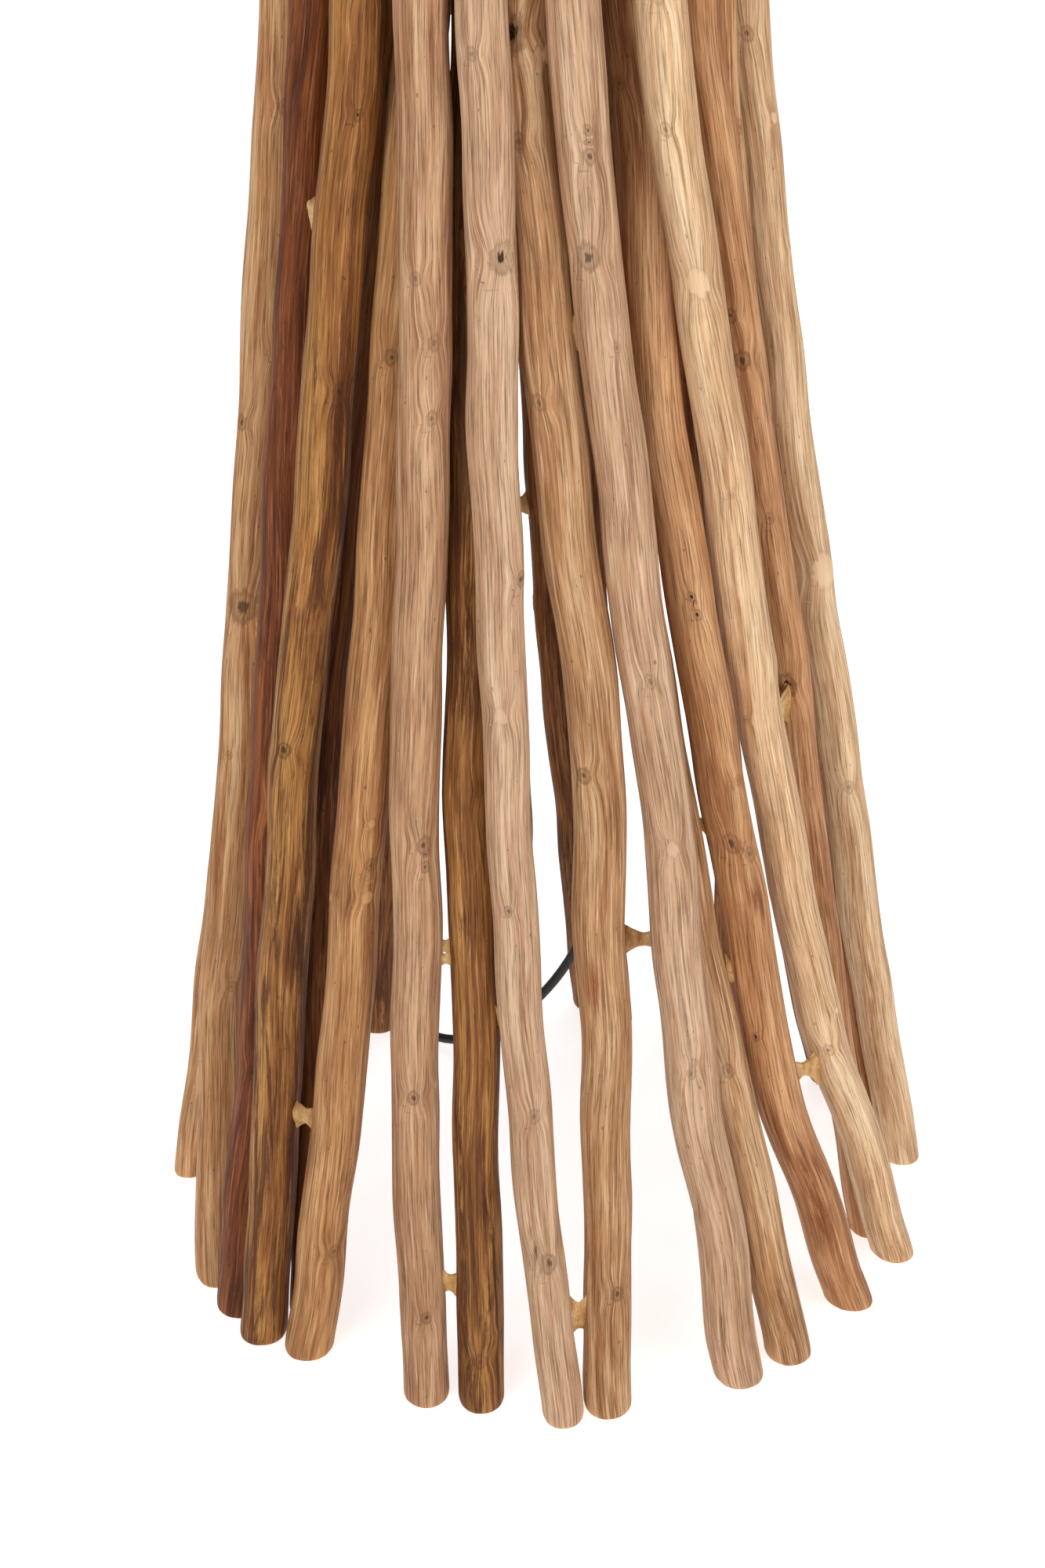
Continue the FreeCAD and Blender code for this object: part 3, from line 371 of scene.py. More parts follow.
def stick_marks(number, rng, top):
    """The branch's own marks, and a few small ones at random places."""
    marks = list(BRANCH_LOOKS[number][1])
    for _ in range(SMALL_MARKS):
        kind = ("dot", "dot", "knot", "dot", "scar")[rng.integers(5)]
        marks.append((rng.uniform(20, top / MM - 20), rng.uniform(-170, 170), rng.uniform(1.6, 3.4), kind))
    return marks


FAR_MARK = 9.0           # a place with no mark near it is this many sizes away
MARK_REACH = 2.2
HOLE_DEPTH = 0.5         # in sizes of the mark
DOT_DEPTH = 0.14
CRACK_DEPTH = 0.9 * MM

# How much ring, dark pit (partly painted shade in the recess) and pale wood each kind of mark has
MARK_KINDS = {
    "knot": (1.0, 0.75, 0.0), "pitted": (1.0, 1.0, 0.0), "rough": (1.0, 1.0, 0.25),
    "hole": (0.8, 1.0, 0.0), "dot": (0.7, 0.45, 0.0), "scar": (0.45, 0.0, 0.75),
}


def hump(distance, width, power=2):
    return np.exp(-(distance / width) ** power)


def mark_relief(kind, size, u, v, d):
    """How far a mark stands out of the wood at d sizes from its middle."""
    rise = np.zeros_like(d)
    if kind in ("knot", "pitted", "rough"):
        rise += size * (0.16 * hump(d, 1.8) + 0.10 * hump(d - 1, 0.33) - 0.16 * hump(d, 0.55))
    if kind in ("pitted", "rough"):
        rise -= 0.34 * size * hump(d, 0.7)
    if kind == "rough":
        rise += 0.22 * size * hump(d, 1.8) * np.sin(7 * u + 1) * np.sin(6 * v)
    if kind in ("hole", "dot"):
        rise -= (HOLE_DEPTH if kind == "hole" else DOT_DEPTH) * size * hump(d, 0.6)
    if kind == "scar":
        rise += size * (0.20 * hump(d, 0.95, 4) + 0.05 * hump(d, 1.8))
    if kind == "node":
        rise += 0.11 * size * hump(v, 1.1)
    return rise


def crack_share(u, v):
    return np.exp(-((u + 0.12 * v) / 0.07) ** 2 - (v / 1.5) ** 4)


def stain_share(u, v):
    frayed = 1 + 0.35 * np.sin(6 * u) + 0.2 * np.sin(13 * u + 1)
    return np.exp(-((u / 0.9) ** 2 + (v / (2.4 * frayed)) ** 2) ** 2)


def mark_fields(marks, along, angle, radius, facing):
    """Height of the surface, each kind's share, place beside the mark, shift of the fibres."""
    names = ("rise", "knot", "pit", "pale", "slit", "stain", "shift")
    out = {name: np.zeros_like(angle) for name in names}
    nearest = np.full_like(angle, MARK_REACH)
    beside = np.stack([np.full_like(angle, FAR_MARK)] * 2, -1)
    for z, turn, size, kind in marks:
        size = size * MM
        spot = facing + math.radians(turn)
        around = (angle - spot + math.pi) % (2 * math.pi) - math.pi
        u, v = around * radius / size, (along - z * MM) / size
        d = np.sqrt(u ** 2 + (v / MARK_LENGTH) ** 2)
        out["rise"] += mark_relief(kind, size, u, v, d)
        if kind in MARK_KINDS:
            closer = d < nearest
            nearest = np.where(closer, d, nearest)
            beside[closer] = np.stack([u, v], -1)[closer]
            for name, amount in zip(("knot", "pit", "pale"), MARK_KINDS[kind]):
                out[name] = np.where(closer, amount, out[name])
            out["shift"] += u * size * hump(d, 1.7)
        if kind == "crack":
            slit = crack_share(u, v)
            out["rise"] -= CRACK_DEPTH * slit
            out["slit"] = np.maximum(out["slit"], slit)
        if kind == "stain":
            out["stain"] = np.maximum(out["stain"], stain_share(u, v))
    beside[nearest >= MARK_REACH] = FAR_MARK
    out["mark"] = np.concatenate([beside, np.zeros_like(beside[..., :1])], -1)
    return out


def ring_faces(rings, around):
    """Quads between rings of vertices, and a fan on each end."""
    i, j = np.meshgrid(np.arange(rings - 1), np.arange(around), indexing="ij")
    k = (j + 1) % around
    quads = np.stack([i * around + j, i * around + k, (i + 1) * around + k, (i + 1) * around + j], -1)
    bottom, top = rings * around, rings * around + 1
    fans = [(bottom, (j + 1) % around, j) for j in range(around)]
    last = (rings - 1) * around
    fans += [(top, last + j, last + (j + 1) % around) for j in range(around)]
    return quads.reshape(-1, 4).tolist(), fans


def tube_uvs(mesh, rings, around):
    """The tube unrolled in strips side by side, and its two ends in a corner."""
    per_strip = math.ceil((rings - 1) / UV_STRIPS)
    i, j = np.meshgrid(np.arange(rings - 1), np.arange(around), indexing="ij")
    strip, row = np.divmod(i, per_strip)
    left = (strip + 0.03 + 0.94 * j / around) / UV_STRIPS
    right = left + 0.94 / around / UV_STRIPS
    low, high = 0.9 * row / per_strip, 0.9 * (row + 1) / per_strip
    tube = np.stack([left, low, right, low, right, high, left, high], -1)
    ends = []
    for middle, way in ((0.05, -1), (0.15, 1)):
        for j in range(around):
            turns = [way * 2 * math.pi * (j + step) / around for step in (0, 1)]
            ends += [middle, 0.95]
            for turn in turns:
                ends += [middle + 0.04 * math.cos(turn), 0.95 + 0.04 * math.sin(turn)]
    layer = mesh.uv_layers.new(name="OFBake")
    layer.data.foreach_set("uv", np.concatenate([tube.ravel(), ends]))


def add_attribute(mesh, name, values):
    """A number or a vector for each point of the mesh."""
    kind, key = ("FLOAT_VECTOR", "vector") if values.ndim == 2 else ("FLOAT", "value")
    layer = mesh.attributes.new(name, kind, "POINT")
    layer.data.foreach_set(key, values.astype(np.float32).ravel())


def new_piece(name, points, faces, material, body="lamp"):
    """A smooth-shaded mesh that rides on a body of the lamp."""
    mesh = bpy.data.meshes.new(name)
    mesh.from_pydata([tuple(p) for p in points], [], faces)
    mesh.polygons.foreach_set("use_smooth", [True] * len(mesh.polygons))
    mesh.materials.append(material)
    piece = bpy.data.objects.new(name, mesh)
    bpy.context.scene.collection.objects.link(piece)
    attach(piece, body)
    return piece


def stick_rings(node):
    """Heights of the stick's rings, and how far each is drawn in to round the ends."""
    low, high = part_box(node)
    foot = [low.z + z * MM for z, _ in FOOT_ROUNDING]
    crown = [high.z - z * MM for z, _ in TOP_ROUNDING]
    body = np.arange(foot[-1] + STICK_PITCH, crown[0] - STICK_PITCH / 2, STICK_PITCH)
    cuts = [cut * MM for _, cut in FOOT_ROUNDING] + [0] * len(body) + [cut * MM for _, cut in TOP_ROUNDING]
    return np.concatenate([foot, body, crown]), np.array(cuts)


def stick_core(node, heights):
    """Middle line and radius of the CAD's stick, the line evened out."""
    core = slices(node, heights)
    even = np.ones(STICK_SMOOTHING) / STICK_SMOOTHING
    for column in range(2):
        padded = np.pad(core[:, column], STICK_SMOOTHING // 2, mode="reflect", reflect_type="odd")
        core[:, column] = np.convolve(padded, even, "valid")
    return core


def out_of_round(rng, turn, along):
    shape = np.zeros_like(turn)
    for order, size in OUT_OF_ROUND:
        drift = waves(rng, along, (0.4, 0.22), 1.4)
        shape += size * rng.uniform(0.5, 1) * np.sin(order * turn + drift + rng.uniform(0, 6.28))
    return shape


def add_stick_attributes(mesh, grain, marks, rings):
    """What the wood's material reads at each point, the two end points last."""
    add_attribute(mesh, "grain", grain)
    sawn = np.zeros(rings)
    sawn[:len(SAWN_FOOT)], sawn[-len(SAWN_CROWN):] = SAWN_FOOT, SAWN_CROWN
    add_attribute(mesh, "sawn", np.append(np.repeat(sawn, STICK_AROUND), [1, 1]))
    for name in ("knot", "pit", "pale", "slit", "stain"):
        add_attribute(mesh, name, np.append(marks[name].ravel(), [0, 0]))
    add_attribute(mesh, "mark", np.vstack([marks["mark"].reshape(-1, 3), [(FAR_MARK, FAR_MARK, 0)] * 2]))


def make_stick(number, materials):
    """One branch: the CAD's stick, a little crooked and uneven, with its knots and its bark."""
    node = "branch_%02d" % number
    rng = np.random.default_rng(SEED * 100 + number)
    heights, cuts = stick_rings(node)
    core = stick_core(node, heights)
    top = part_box(node)[1].z
    calm = np.clip(heights / CALM_LENGTH, CALM_LEAST, 1)
    calm = calm * np.clip((top - heights) / CALM_LENGTH, CALM_LEAST, 1)
    x = core[:, 0] + calm * waves(rng, heights, SWAY_X, SWAY)
    y = core[:, 1] + calm * waves(rng, heights, SWAY_Y, SWAY)
    radius = core[:, 2] * (1 + waves(rng, heights, SWELL_LENGTHS, SWELL))
    mean = core[:, 2].mean()
    angle = np.linspace(0, 2 * math.pi, STICK_AROUND, endpoint=False)
    turn, along = np.meshgrid(angle, heights)
    shape = out_of_round(rng, turn, along)
    middle = core[len(core) // 3]
    facing = math.atan2(CAMERA_PLACE.y - middle[1], CAMERA_PLACE.x - middle[0])
    marks = mark_fields(stick_marks(number, rng, top), along, turn, mean, facing)
    ring = radius[:, None] * (1 + shape) + marks["rise"] * calm[:, None] - cuts[:, None]
    points = np.stack([x[:, None] + ring * np.cos(turn), y[:, None] + ring * np.sin(turn), along], -1)
    ends = np.array([[x[0], y[0], heights[0]], [x[-1], y[-1], heights[-1]]])
    quads, fans = ring_faces(len(heights), STICK_AROUND)
    tone, slot = BRANCH_LOOKS[number][0], SLOTS[node]
    points = np.vstack([points.reshape(-1, 3), ends])
    stick = new_piece("stick_%02d" % number, points, quads + fans, materials[tone])
    fibre = turn + marks["shift"] / mean + waves(rng, along, (0.5, 0.27), 0.25)
    start = number * GRAIN_APART
    grain = np.stack([mean * np.cos(fibre) + start, mean * np.sin(fibre), along], -1).reshape(-1, 3)
    grain = np.vstack([grain, [(start, 0, 0)] * 2])
    add_stick_attributes(stick.data, grain, marks, len(heights))
    tube_uvs(stick.data, len(heights), STICK_AROUND)
    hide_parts(node)


# ---------------------------------------------------------------- Glue bridges

def glue_material():
    """Set glue with sawdust in it: tan, grainy, a little glossy where it ran."""
    s = Shader("glue_and_sawdust")
    place = s.place()
    grit = s.noise(place, 900, 4, 0.7)
    runs = s.noise(s.scaled(place, (1, 1, 0.4)), 160, 3, 0.6)
    colour = s.ramp(runs, (0.35, srgb(176, 122, 64)), (0.5, srgb(205, 160, 100)),
                    (0.68, srgb(226, 190, 134)))
    colour = s.mix(s.ramp(grit, (0.36, 0.5), (0.46, 0.0)), colour, srgb(140, 86, 40))
    s.bump(s.math("ADD", s.math("MULTIPLY", grit, 0.6), runs), 0.8, 0.7 * MM)
    return s.finish(colour, s.ramp(grit, (0.3, 0.7), (0.7, 0.42)), Specular_IOR_Level=0.4)


GLUE_AROUND = 16
GLUE_STEPS = 12
GLUE_ROOT = 0.80         # a web starts this share of the radius from the stick's middle
GLUE_WAIST = 0.34        # thickness between the sticks, as a share of that on them
GLUE_TALL = (6.0, 12.0)  # least and most half height of a web, in millimetres
GLUE_THIN = (2.2, 3.4)
GLUE_SAG = 2.0
GLUE_SECOND = (1.5, 4.0)  # how far above the first the second web of a pair is
SLICE_HEIGHTS = np.arange(20, 700, 10) * MM


def islands(node):
    """Each separate solid of a node, as the points of its mesh."""
    points, edges = mesh_arrays(node)
    key, first = np.unique(np.round(points, 6), axis=0, return_inverse=True)
    label = np.arange(len(key))
    pairs = first.ravel()[edges]
    while True:
        low = np.minimum(label[pairs[:, 0]], label[pairs[:, 1]])
        fresh = label.copy()
        np.minimum.at(fresh, pairs[:, 0], low)
        np.minimum.at(fresh, pairs[:, 1], low)
        if (fresh == label).all():
            break
        label = fresh
    return [key[label == k] for k in np.unique(label)]


def two_nearest(centre, sticks):
    """Middles and radii of the two sticks beside a point, at its height."""
    row = int(np.argmin(abs(SLICE_HEIGHTS - centre[2])))
    found = []
    for table in sticks:
        x, y, radius = table[row]
        found.append((math.hypot(centre[0] - x, centre[1] - y) - radius, x, y, radius))
    found.sort()
    return found[0][1:], found[1][1:]


def bridge(centre, sticks, rng):
    """Points and faces of one web of glue, wide on both sticks and thin between them."""
    (ax, ay, ra), (bx, by, rb) = two_nearest(centre, sticks)
    a, b = np.array((ax, ay, centre[2])), np.array((bx, by, centre[2]))
    span = np.linalg.norm(b - a)
    way = (b - a) / span
    side = np.cross(way, (0, 0, 1))
    start, end = ra * GLUE_ROOT, span - rb * GLUE_ROOT
    tall, thin = rng.uniform(*GLUE_TALL) * MM, rng.uniform(*GLUE_THIN) * MM
    drop = rng.uniform(-GLUE_SAG, GLUE_SAG) * MM
    points = []
    for i in range(GLUE_STEPS + 1):
        share = i / GLUE_STEPS
        waist = GLUE_WAIST + (1 - GLUE_WAIST) * abs(2 * share - 1) ** 1.5
        at = a + way * (start + share * (end - start))
        for j in range(GLUE_AROUND):
            turn = 2 * math.pi * j / GLUE_AROUND
            rough = 1 + 0.22 * math.sin(3 * turn + 5 * share + drop * 900) + rng.uniform(-0.09, 0.09)
            up = tall * waist * rough * math.sin(turn) + drop * math.sin(math.pi * share)
            points.append(at + side * thin * waist * rough * math.cos(turn) + np.array((0, 0, up)))
    quads, fans = ring_faces(GLUE_STEPS + 1, GLUE_AROUND)
    points += [a + way * start, a + way * end]
    return points, quads + fans


def make_glue(material):
    """Two webs of glue for each of the CAD's bridges, all in one piece."""
    sticks = [slices("branch_%02d" % number, SLICE_HEIGHTS) for number in BRANCH_LOOKS]
    rng = np.random.default_rng(SEED)
    points, faces = [], []
    for solid in islands("glue_bridges"):
        centre = (solid.max(0) + solid.min(0)) / 2
        for strand in range(2):
            spot = centre + np.array((0, 0, strand * rng.uniform(*GLUE_SECOND) * MM))
            more, quads = bridge(spot, sticks, rng)
            faces += [tuple(i + len(points) for i in face) for face in quads]
            points += more
    piece = new_piece("glue_webs", points, faces, material)
    smooth = piece.modifiers.new("rounded", "SUBSURF")
    smooth.levels = smooth.render_levels = 1
    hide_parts("glue_bridges")


# ---------------------------------------------------------------- Other materials

def plastic(name, colour, rough, grain_size=1500, coat=0.0):
    """Moulded plastic with a fine spark-eroded grain and faint handling marks."""
    s = Shader(name)
    place = s.place()
    grain = s.noise(place, grain_size, 3, 0.6)
    marks = s.noise(place, 60, 4, 0.6)
    shade = s.ramp(marks, (0.35, lighter(colour, 0.8)), (0.65, lighter(colour, 1.25, 0.002)))
    s.bump(grain, 0.25, 0.12 * MM)
    roughness = s.ramp(marks, (0.3, rough - 0.07), (0.7, rough + 0.08))
    return s.finish(shade, roughness, Coat_Weight=coat, Coat_Roughness=0.15)


def metal(name, colour, rough, brushed=(1, 1, 1)):
    """Plated or rolled metal with fine drawing lines and dulled patches."""
    s = Shader(name)
    place = s.place()
    lines = s.noise(s.scaled(place, brushed), 1400, 3, 0.6)
    patches = s.noise(place, 70, 4, 0.6)
    tone = s.ramp(patches, (0.35, lighter(colour, 0.78)), (0.65, colour))
    s.bump(lines, 0.2, 0.08 * MM)
    return s.finish(tone, s.ramp(patches, (0.3, rough + 0.12), (0.7, rough)), Metallic=1.0)


def rubber_cord():
    """Smooth black sheath, dusted a little, with a faint fine bump."""
    s = Shader("cord_sheath")
    place = s.place()
    dust = s.noise(place, 240, 4, 0.65)
    colour = s.ramp(dust, (0.4, srgb(20, 20, 21)), (0.66, srgb(40, 39, 38)))
    s.bump(s.noise(place, 900, 3, 0.6), 0.2, 0.15 * MM)
    return s.finish(colour, s.ramp(dust, (0.35, 0.42), (0.7, 0.6)), Specular_IOR_Level=0.45)


WARP_PITCH = 1.15 * MM
WEFT_PITCH = 1.25 * MM


def linen():
    """Plain weave: warp and weft threads of uneven thickness, and slubs."""
    s = Shader("linen")
    weave = s.attribute("weave", "Vector")
    parts = s.node("SeparateXYZ")
    s.feed(parts.inputs[0], weave)
    around, up = parts.outputs[0], parts.outputs[1]
    warp = s.math("SINE", s.math("MULTIPLY", around, 2 * math.pi / WARP_PITCH))
    weft = s.math("SINE", s.math("MULTIPLY", up, 2 * math.pi / WEFT_PITCH))
    over = s.math("MULTIPLY", warp, weft)
    slub_up = s.noise(s.scaled(weave, (1, 0.02, 1)), 620, 3, 0.6)
    slub_round = s.noise(s.scaled(weave, (0.02, 1, 1)), 620, 3, 0.6)
    slubs = s.math("ADD", s.math("MULTIPLY", slub_up, 0.5), s.math("MULTIPLY", slub_round, 0.5))
    colour = s.ramp(slubs, (0.36, srgb(196, 184, 158)), (0.5, srgb(223, 213, 190)),
                    (0.66, srgb(240, 233, 215)))
    # Darker where a thread dips under the crossing one: painted shade in the weave.
    under_thread_shade = s.ramp(over, (0.0, 0.80), (0.5, 1.0))
    colour = s.mix(1.0, colour, under_thread_shade, "MULTIPLY")
    height = s.math("ADD", s.math("MULTIPLY", over, 0.35), slubs)
    s.bump(height, 0.5, 0.35 * MM)
    rough = s.ramp(slubs, (0.3, 0.95), (0.7, 0.82))
    return s.finish(colour, rough, Sheen_Weight=0.25, Specular_IOR_Level=0.2)


def tape():
    """The folded cotton tape round the shade's edges."""
    s = Shader("edge_tape")
    weave = s.attribute("weave", "Vector")
    threads = s.noise(s.scaled(weave, (0.06, 1, 1)), 1500, 3, 0.6)
    colour = s.ramp(threads, (0.35, srgb(204, 193, 168)), (0.65, srgb(231, 222, 200)))
    s.bump(threads, 0.4, 0.2 * MM)
    return s.finish(colour, s.ramp(threads, (0.3, 0.9), (0.7, 0.8)), Specular_IOR_Level=0.2)


def powder_coat():
    """White powder coat with a faint orange peel."""
    s = Shader("powder_coat")
    place = s.place()
    peel = s.noise(place, 700, 2, 0.5)
    colour = s.ramp(s.noise(place, 40, 3, 0.6), (0.35, srgb(226, 224, 218)), (0.65, srgb(240, 239, 235)))
    s.bump(peel, 0.25, 0.15 * MM)
    return s.finish(colour, s.ramp(peel, (0.3, 0.42), (0.7, 0.3)))


def opal():
    """Opal glass with a thin even bloom inside."""
    s = Shader("opal_glass")
    place = s.place()
    bloom = s.noise(place, 45, 3, 0.5)
    colour = s.ramp(bloom, (0.35, srgb(238, 236, 228)), (0.65, srgb(250, 249, 244)))
    return s.finish(colour, s.ramp(bloom, (0.3, 0.16), (0.7, 0.10)), Coat_Weight=0.4, Coat_Roughness=0.05,
                    Subsurface_Weight=0.3, Subsurface_Scale=0.01)


def ceramic():
    """Unglazed steatite."""
    s = Shader("steatite")
    place = s.place()
    grain = s.noise(place, 1200, 3, 0.6)
    colour = s.ramp(grain, (0.35, srgb(220, 216, 206)), (0.65, srgb(238, 235, 228)))
    s.bump(grain, 0.3, 0.1 * MM)
    return s.finish(colour, s.ramp(grain, (0.3, 0.6), (0.7, 0.45)))


VENEER_PAIR = 3.0 * MM   # thickness of one light and one dark veneer


def plywood():
    """Veneers seen edge-on round the rim, and flat grain on the faces."""
    s = Shader("plywood")
    place = s.place()
    parts = s.node("SeparateXYZ")
    s.feed(parts.inputs[0], place)
    layer = s.math("SINE", s.math("MULTIPLY", parts.outputs[2], 2 * math.pi / VENEER_PAIR))
    grain = s.noise(s.scaled(place, (0.06, 1, 1)), 420, 5, 0.65)
    face = s.ramp(grain, (0.35, srgb(186, 146, 98)), (0.65, srgb(222, 188, 142)))
    edge = s.ramp(layer, (0.2, srgb(150, 104, 62)), (0.6, srgb(214, 176, 128)))
    normal = s.node("SeparateXYZ")
    s.feed(normal.inputs[0], s.node("NewGeometry").outputs["Normal"])
    flat = s.ramp(s.math("ABSOLUTE", normal.outputs[2]), (0.4, 0.0), (0.6, 1.0))
    s.bump(grain, 0.3, 0.2 * MM)
    return s.finish(s.mix(flat, edge, face), s.ramp(grain, (0.3, 0.75), (0.7, 0.6)))


def cad_materials():
    """One material for each slot whose CAD nodes stay in view."""
    black = srgb(24, 24, 25)
    return {
        "plywood": plywood(),
        "zinc_steel": metal("zinc_plate", srgb(186, 188, 190), 0.30, (1, 1, 0.05)),
        "black_plastic": plastic("black_plastic", black, 0.45),
        "black_gloss": plastic("rocker_plastic", black, 0.2, 2500, 0.3),
        "black_cord": rubber_cord(),
        "white_ceramic": ceramic(),
        "brass": metal("brass", srgb(205, 170, 104), 0.28),
        "bulb_metal": metal("rolled_aluminium", srgb(200, 200, 202), 0.25),
        "opal_glass": opal(),
        "white_wire": powder_coat(),
        "pin_metal": metal("nickel_plate", srgb(206, 203, 196), 0.18, (1, 0.05, 1)),
    }


def dress_cad_nodes(materials):
    """Gives the CAD nodes that stay in view the material of their slot."""
    for name, node in NODES.items():
        material = materials.get(SLOTS[name])
        if material:
            node.data.materials.clear()
            node.data.materials.append(material)


# ---------------------------------------------------------------- Shade

SHADE_AROUND = 160
SHADE_THICK = 0.9 * MM
HEM_HEIGHT = 9 * MM
HEM_PROUD = 0.35 * MM    # the hem stands out past the cloth by this, and in past it by HEM_INSIDE
HEM_INSIDE = 0.3 * MM
HEM_ROWS = 5
SKIN = -0.35 * MM        # the cloth's outside, from the CAD's
SHADE_ROWS = 24
SHADE_DENTS = 0.25 * MM
SHADE_EDGE = 0.004       # the cloth ends this share of the height inside the hem's edge


def shade_profile():
    """Bottom and top radius and height of the cloth."""
    points, _ = mesh_arrays("shade_cloth")
    low, high = points[:, 2].min(), points[:, 2].max()
    reach = np.hypot(points[:, 0], points[:, 1])
    wide = reach[points[:, 2] < low + MM].max()
    narrow = reach[points[:, 2] > high - MM].max()
    return low, high, wide, narrow


def drum(name, from_share, to_share, outer, inner, rows, material, dents=0.0):
    """A closed thin band of the shade's cone between two shares of its height."""
    low, high, wide, narrow = shade_profile()
    rng = np.random.default_rng(SEED + rows)
    points, weave = [], []
    shares = np.linspace(from_share, to_share, rows)
    phases = rng.uniform(0, 6.28, 4)
    for share, skin in [(v, outer) for v in shares] + [(v, inner) for v in shares[::-1]]:
        z = low + share * (high - low)
        radius = wide + share * (narrow - wide) + skin
        for j in range(SHADE_AROUND):
            turn = 2 * math.pi * j / SHADE_AROUND
            sway = sum(math.sin((k + 2) * turn + phases[k] + 2 * share) for k in range(4)) / 4
            r = radius - dents * (1 + sway) * math.sin(math.pi * min(1, max(0, share)))
            points.append((r * math.cos(turn), r * math.sin(turn), z))
            weave.append((turn * wide, z, skin))
    faces, rings = [], 2 * rows
    for i in range(rings):
        this, following = i * SHADE_AROUND, (i + 1) % rings * SHADE_AROUND
        for j in range(SHADE_AROUND):
            k = (j + 1) % SHADE_AROUND
            faces.append((this + j, this + k, following + k, following + j))
    piece = new_piece(name, points, faces, material, "shade")
    add_attribute(piece.data, "weave", np.array(weave))
    return piece


def make_shade():
    low, high, wide, narrow = shade_profile()
    edging = tape()
    hem = HEM_HEIGHT / (high - low)
    inside = SKIN - SHADE_THICK
    sheet = drum("shade_linen", SHADE_EDGE, 1 - SHADE_EDGE, SKIN, inside, SHADE_ROWS, linen(), SHADE_DENTS)
    hems = [drum(name, start, end, SKIN + HEM_PROUD, inside - HEM_INSIDE, HEM_ROWS, edging)
            for name, start, end in (("shade_hem_bottom", 0.0, hem), ("shade_hem_top", 1 - hem, 1.0))]
    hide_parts("shade_cloth")


# ---------------------------------------------------------------- Cord

# The cord's route in millimetres: down inside the bundle, through the switch, round the coil
ROUTE_IN = (
    (0, 0, 575), (0, 0, 552), (7, 5, 512), (20, 16, 452), (33, 33, 384), (43, 54, 310),
    (49, 76, 236), (50, 99, 162), (43, 113, 94), (24, 120, 53), (-4, 123, 23),
    (-31, 131, 7), (-53, 146, 2.9), (-67, 166, 3.2), (-72, 188, 4.5), (-72, 203, 4.5),
)
ROUTE_TAIL = (
    (-72, 261, 4.5), (-72, 277, 4.5), (-80.2, 291.3, 3.2), (-94.5, 299.5, 2.9),
    (-111, 299.5, 2.9), (-126, 298, 2.9),
)
ROUTE_LEAD = (
    (-173.4, 268, 8.3), (-173, 251, 8.3), (-167, 235, 7), (-167, 219, 7),
)
CORD_DIAMETER = 5.4
COIL_CENTRE = (-133, 259)
COIL_OUTER, COIL_PITCH = 40.4, 5.6
COIL_FLOORS = (2.9, 8.3)
COIL_POINTS = 18          # in each turn
COIL_TURNS_DOWN = 3.7     # turns wound inward on the floor, the rest outward on top of them
COIL_TURNS = 7.15
STEP_START = 0.7          # share of a turn at which it steps over to the next ring
LIFT_TURN = 0.25          # share of a turn over which it climbs to the upper layer
BARELY = 0.001


def ring_steps(turns):
    """How many rings further in or out the cord lies after so many turns."""
    whole = math.floor(turns)
    share = max(0.0, (turns - whole - STEP_START) / (1 - STEP_START))
    return whole + share * share * (3 - 2 * share)


def coil_points():
    """The coil's points: inward on the floor, then outward on top of that."""
    points = []
    inmost = COIL_OUTER - COIL_PITCH * ring_steps(COIL_TURNS_DOWN - BARELY)
    for k in range(1, int(COIL_TURNS * COIL_POINTS) + 1):
        turns = k / COIL_POINTS
        if turns < COIL_TURNS_DOWN:
            radius = COIL_OUTER - COIL_PITCH * ring_steps(turns)
        else:
            radius = inmost + COIL_PITCH * ring_steps(turns - COIL_TURNS_DOWN)
        lift = min(1.0, max(0.0, (turns - COIL_TURNS_DOWN + LIFT_TURN) / LIFT_TURN))
        z = COIL_FLOORS[0] + (COIL_FLOORS[1] - COIL_FLOORS[0]) * lift
        angle = math.pi / 2 + 2 * math.pi * turns
        x, y = COIL_CENTRE[0] + radius * math.cos(angle), COIL_CENTRE[1] + radius * math.sin(angle)
        points.append((x, y, z))
    return points


def make_cord(material):
    """The whole mains cord in one piece, from the gland to the plug."""
    route = list(ROUTE_IN) + list(ROUTE_TAIL) + coil_points() + list(ROUTE_LEAD)
    curve = bpy.data.curves.new("mains_cord", "CURVE")
    curve.dimensions = "3D"
    curve.bevel_depth = CORD_DIAMETER / 2 * MM
    curve.bevel_resolution = 5
    curve.resolution_u = 6
    curve.use_fill_caps = True
    spline = curve.splines.new("NURBS")
    spline.points.add(len(route) - 1)
    for point, place in zip(spline.points, route):
        point.co = (*(v * MM for v in place), 1)
    spline.order_u = 3
    spline.use_endpoint_u = True
    curve.materials.append(material)
    cord = bpy.data.objects.new("mains_cord", curve)
    bpy.context.scene.collection.objects.link(cord)
    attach(cord, "lamp")
    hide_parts("cord_run", "cord_tail", "cord_coil", "cord_lead")


# ---------------------------------------------------------------- Camera, light and floor

CAMERA_TILT = math.radians(66)
FLOOR_HALF = 20
FLOOR_GLOW = 0.72        # lifts the floor to plain white
ROOM_LIGHT = 0.31
# Each light: name, place, what it is aimed at, size and power
LIGHTS = (
    ("key", (-1.1, -2.2, 1.5), (0, 0, 0.45), (1.2, 1.2), 20),
    ("fill", (1.6, -1.8, 0.9), (0, 0, 0.4), (1.6, 1.6), 19),
    ("back", (0.6, 2.4, 1.8), (0, 0, 0.8), (1.6, 1.2), 14),
)


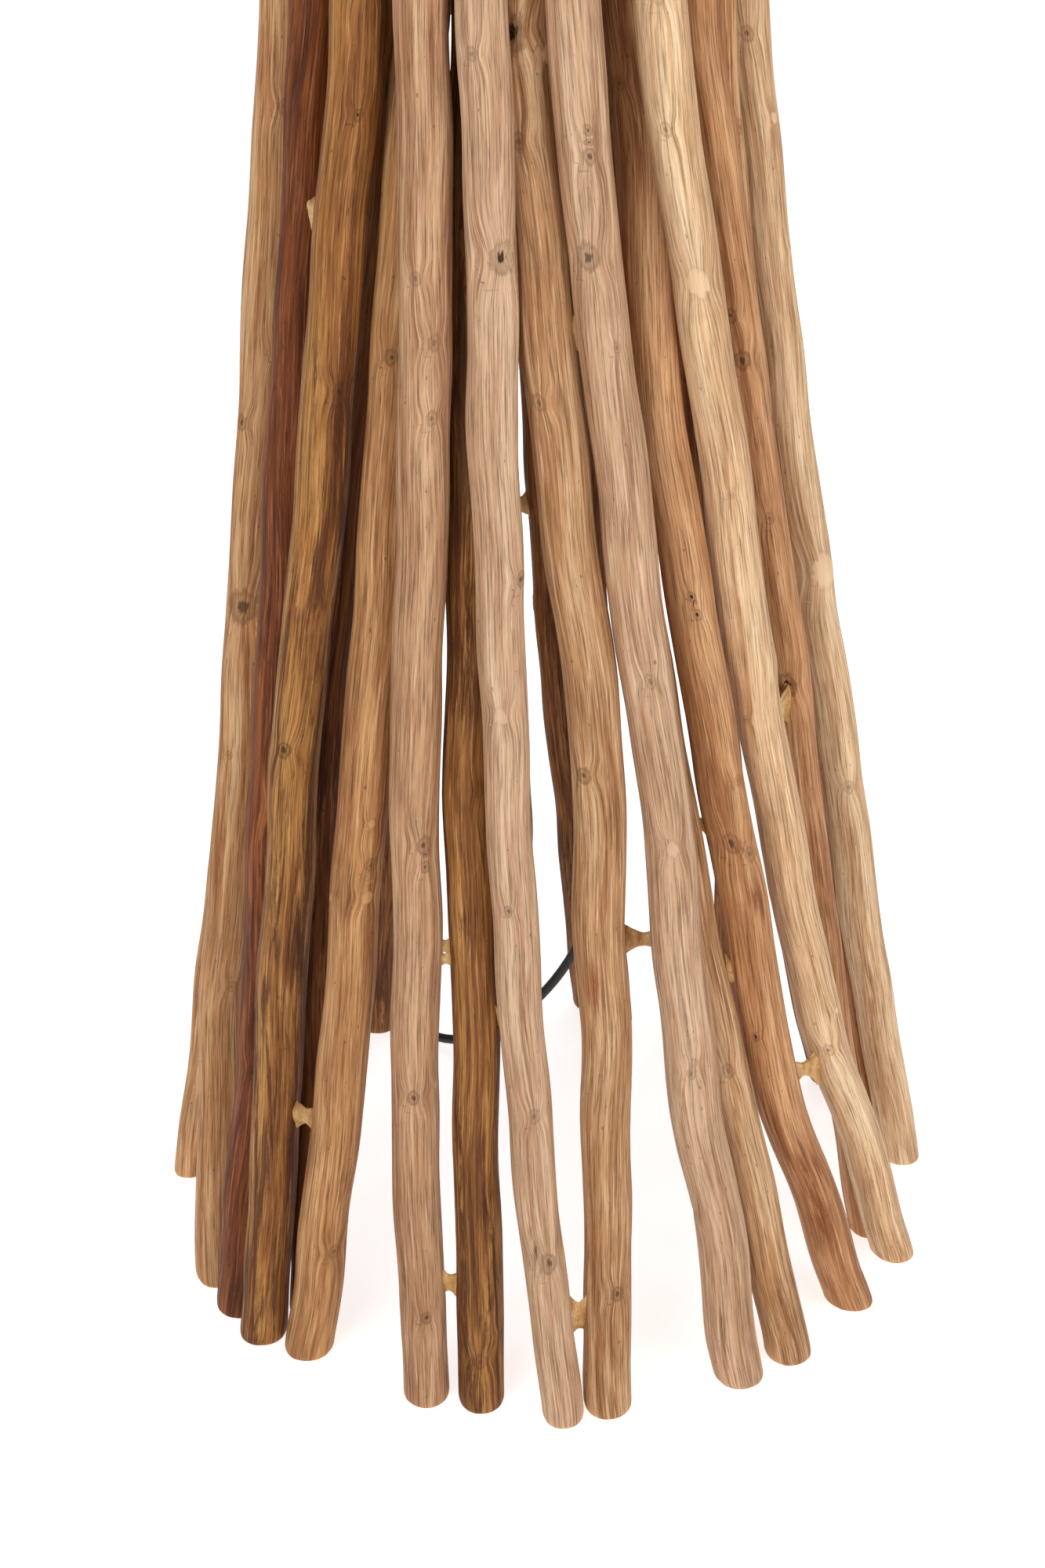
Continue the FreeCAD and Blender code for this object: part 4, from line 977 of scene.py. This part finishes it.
def make_camera():
    lens = bpy.data.cameras.new("camera")
    lens.sensor_fit = "VERTICAL"
    lens.sensor_height = 36
    lens.lens = 50
    camera = bpy.data.objects.new("camera", lens)
    camera.location = CAMERA_PLACE
    camera.rotation_euler = (CAMERA_TILT, 0, 0)
    bpy.context.scene.collection.objects.link(camera)
    bpy.context.scene.camera = camera


def make_floor():
    """A wide white sweep that fills the picture."""
    s = Shader("white_sweep")
    place = s.place()
    tone = s.ramp(s.noise(place, 3, 2, 0.5), (0.4, 0.93), (0.6, 0.95))
    s.surface.inputs["Emission Color"].default_value = (1, 1, 1, 1)
    material = s.finish(tone, 0.9, Specular_IOR_Level=0.0, Emission_Strength=FLOOR_GLOW)
    mesh = bpy.data.meshes.new("floor")
    corners = [(x * FLOOR_HALF, y * FLOOR_HALF, 0) for x, y in ((-1, -1), (1, -1), (1, 1), (-1, 1))]
    mesh.from_pydata(corners, [], [(0, 1, 2, 3)])
    mesh.materials.append(material)
    floor = bpy.data.objects.new("floor", mesh)
    bpy.context.scene.collection.objects.link(floor)


def area_light(name, place, aim, size, power):
    data = bpy.data.lights.new(name, "AREA")
    data.shape = "RECTANGLE"
    data.size, data.size_y = size
    data.energy = power
    light = bpy.data.objects.new(name, data)
    light.location = place
    light.rotation_euler = (Vector(aim) - Vector(place)).to_track_quat("-Z", "Y").to_euler()
    bpy.context.scene.collection.objects.link(light)


def make_lights():
    world = bpy.data.worlds.new("white")
    world.use_nodes = True
    world.node_tree.nodes["Background"].inputs["Color"].default_value = (1, 1, 1, 1)
    world.node_tree.nodes["Background"].inputs["Strength"].default_value = ROOM_LIGHT
    bpy.context.scene.world = world
    for light in LIGHTS:
        area_light(*light)


# ---------------------------------------------------------------- The lamp

bpy.context.scene.view_settings.view_transform = "Standard"
make_camera()
materials = cad_materials()
dress_cad_nodes(materials)
make_cord(materials["black_cord"])
woods = {name: wood(name) for name in TONES}
for number in BRANCH_LOOKS:
    make_stick(number, woods)
make_glue(glue_material())
make_shade()
make_floor()
make_lights()
